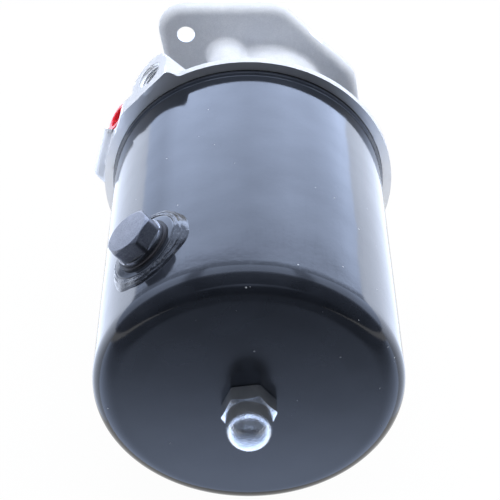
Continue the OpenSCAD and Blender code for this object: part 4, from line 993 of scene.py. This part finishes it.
shaft_rows = turned(np.concatenate((tip, rolled, seat, plain, inner)), count=SHAFT_COLUMNS)
keyed_shaft = shaped("keyed_shaft", flat_cut(shaft_rows, 0.0, 2.52, 5.5, key_low, key_high), 30)
ground, tree, shader, place = finish("ground_steel", Metallic=1.0)
heat = grain(place, 130, 5, 0.6)
coat(shader, shade(heat, (0.3, (0.47, 0.48, 0.50)), (0.72, (0.63, 0.63, 0.64))),
     spread(heat, 0.16, 0.32))
hone = node(tree, "Mapping", {0: place, 3: (0.25, 1.0, 0.25)}).outputs[0]
raised(shader, grain(hone, 4200, 2), 0.000012)
keyed_shaft.data.materials.append(ground)
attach(keyed_shaft, "drive_train")
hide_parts("drive_shaft")


# ---- Shaft nut -----------------------------------------------------------
# A zinc-plated hexagon nut, chamfered on both faces; its countersunk rolled thread is made as a plain bore.
NUT_HIGH, SHAFT_NUT_AF = DRIVE_END - 2.7, 21.0
NUT_LOW = NUT_HIGH - 11
flats, face_r = hexagon(SHAFT_NUT_AF, 0), 0.48 * SHAFT_NUT_AF
bevel = (flats - face_r) * CHAMFER
nut_line = rounded(column((7.9, NUT_LOW), (face_r, NUT_LOW), (flats, NUT_LOW + bevel),
                          (flats, NUT_HIGH - bevel), (face_r, NUT_HIGH), (7.9, NUT_HIGH),
                          (7.05, NUT_HIGH - 0.8)), [0.3, 0.25, 0.25, 0.3, 0.1], 4)
nut_line = np.concatenate((nut_line, same_round([(7.03, NUT_HIGH - 0.9), (7.03, NUT_LOW + 0.8)])))
shaft_hexnut = shaped("shaft_hexnut", turned(nut_line), 40, loop=True)
shaft_hexnut.data.materials.append(zinc)
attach(shaft_hexnut, "drive_train")
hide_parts("shaft_nut")


# ---- Parts kept as they are packed ---------------------------------------
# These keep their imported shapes: most lie inside the casting or the tank. Each finish has the
# look of its stock: honed, sintered, hobbed, stamped, wound or moulded.
def dress(material, *names):
    """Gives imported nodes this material."""
    for name in names:
        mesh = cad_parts[name].data
        for k in range(len(mesh.materials)):
            mesh.materials[k] = material
        if not mesh.materials:
            mesh.materials.append(material)


def stock(name, noise, low, high, rough, lift, **sockets):
    """A finish that one noise colours between two stops, roughens and lifts by so many metres."""
    material, tree, shader, place = finish(name, **sockets)
    speck = grain(place, *noise)
    coat(shader, shade(speck, low, high), spread(speck, *rough))
    raised(shader, speck, lift)
    return material


dress(ground, "shaft_key", "drive_gear_key", "idler_shaft", "tank_stud", "cover_dowels", "flow_spool")
dress(zinc, "valve_plug")
dress(stock("black_rubber", (420, 4, 0.6), (0.35, (0.014, 0.014, 0.016)), (0.75, (0.035, 0.035, 0.038)),
            (0.40, 0.62), 0.00004, IOR=1.5),
      "pilot_o_ring", "tank_seal_ring", "valve_plug_o_ring", "nut_seal_ring", "shaft_oil_seal")
dress(stock("oiled_spring_steel", (800, 4, 0.6), (0.3, (0.16, 0.16, 0.18)), (0.72, (0.31, 0.31, 0.33)),
            (0.24, 0.42), 0.00003, Metallic=1.0),
      "bearing_circlip", "spool_spring", "filter_spring", "shaft_lock_washer", "cover_screws")
dress(stock("filter_paper", (2400, 5, 0.7), (0.3, (0.62, 0.52, 0.32)), (0.72, (0.80, 0.72, 0.50)),
            (0.8, 0.95), 0.00006, Sheen_Weight=0.3), "filter_paper")
dress(stock("vulcanised_fibre", (1300, 4, 0.6), (0.3, (0.012, 0.012, 0.015)), (0.72, (0.03, 0.03, 0.036)),
            (0.45, 0.65), 0.00005, IOR=1.5), "filler_plug_washer")

race_steel, tree, shader, place = finish("race_steel", Metallic=1.0)
polish = grain(place, 260, 3)
coat(shader, shade(polish, (0.3, (0.66, 0.67, 0.69)), (0.7, (0.76, 0.77, 0.79))),
     spread(polish, 0.07, 0.18))
raised(shader, grain(place, 5200, 2), 0.000004)
dress(race_steel, "bearing_outer_ring", "bearing_inner_ring", "bearing_balls")

bronze, tree, shader, place = finish("sintered_bronze", Metallic=1.0)
pores = node(tree, "TexVoronoi", {"Vector": place, "Scale": 2600.0}).outputs["Distance"]
tarnish = grain(place, 200, 5, 0.65)
coat(shader, shade(tarnish, (0.3, (0.46, 0.29, 0.13)), (0.72, (0.68, 0.46, 0.22))),
     spread(tarnish, 0.28, 0.45))
raised(shader, pores, 0.00003)
dress(bronze, "bearing_cage", "front_shaft_bush", "rear_shaft_bush", "front_idler_bush", "rear_idler_bush")

pump_iron, tree, shader, place = finish("milled_iron", Metallic=1.0)
graphite = grain(place, 1200, 4, 0.65)
strokes = node(tree, "TexWave", {"Vector": place, "Scale": 900.0, "Distortion": 3.0}).outputs["Fac"]
coat(shader, shade(graphite, (0.3, (0.30, 0.30, 0.31)), (0.72, (0.50, 0.50, 0.51))),
     spread(graphite, 0.30, 0.48))
raised(shader, math_of("ADD", graphite, strokes), 0.00002)
dress(pump_iron, "gear_housing", "rear_cover", "drive_gear", "driven_gear")

tin_plate, tree, shader, place = finish("tin_plate", Metallic=1.0)
spangle = node(tree, "TexVoronoi", {"Vector": place, "Scale": 160.0}).outputs["Color"]
coat(shader, mixed(0.12, (0.68, 0.69, 0.70, 1), spangle),
     spread(grain(place, 300, 3), 0.2, 0.36))
raised(shader, grain(place, 700, 2), 0.00002)
dress(tin_plate, "filter_end_caps", "filter_core", "spring_seat")
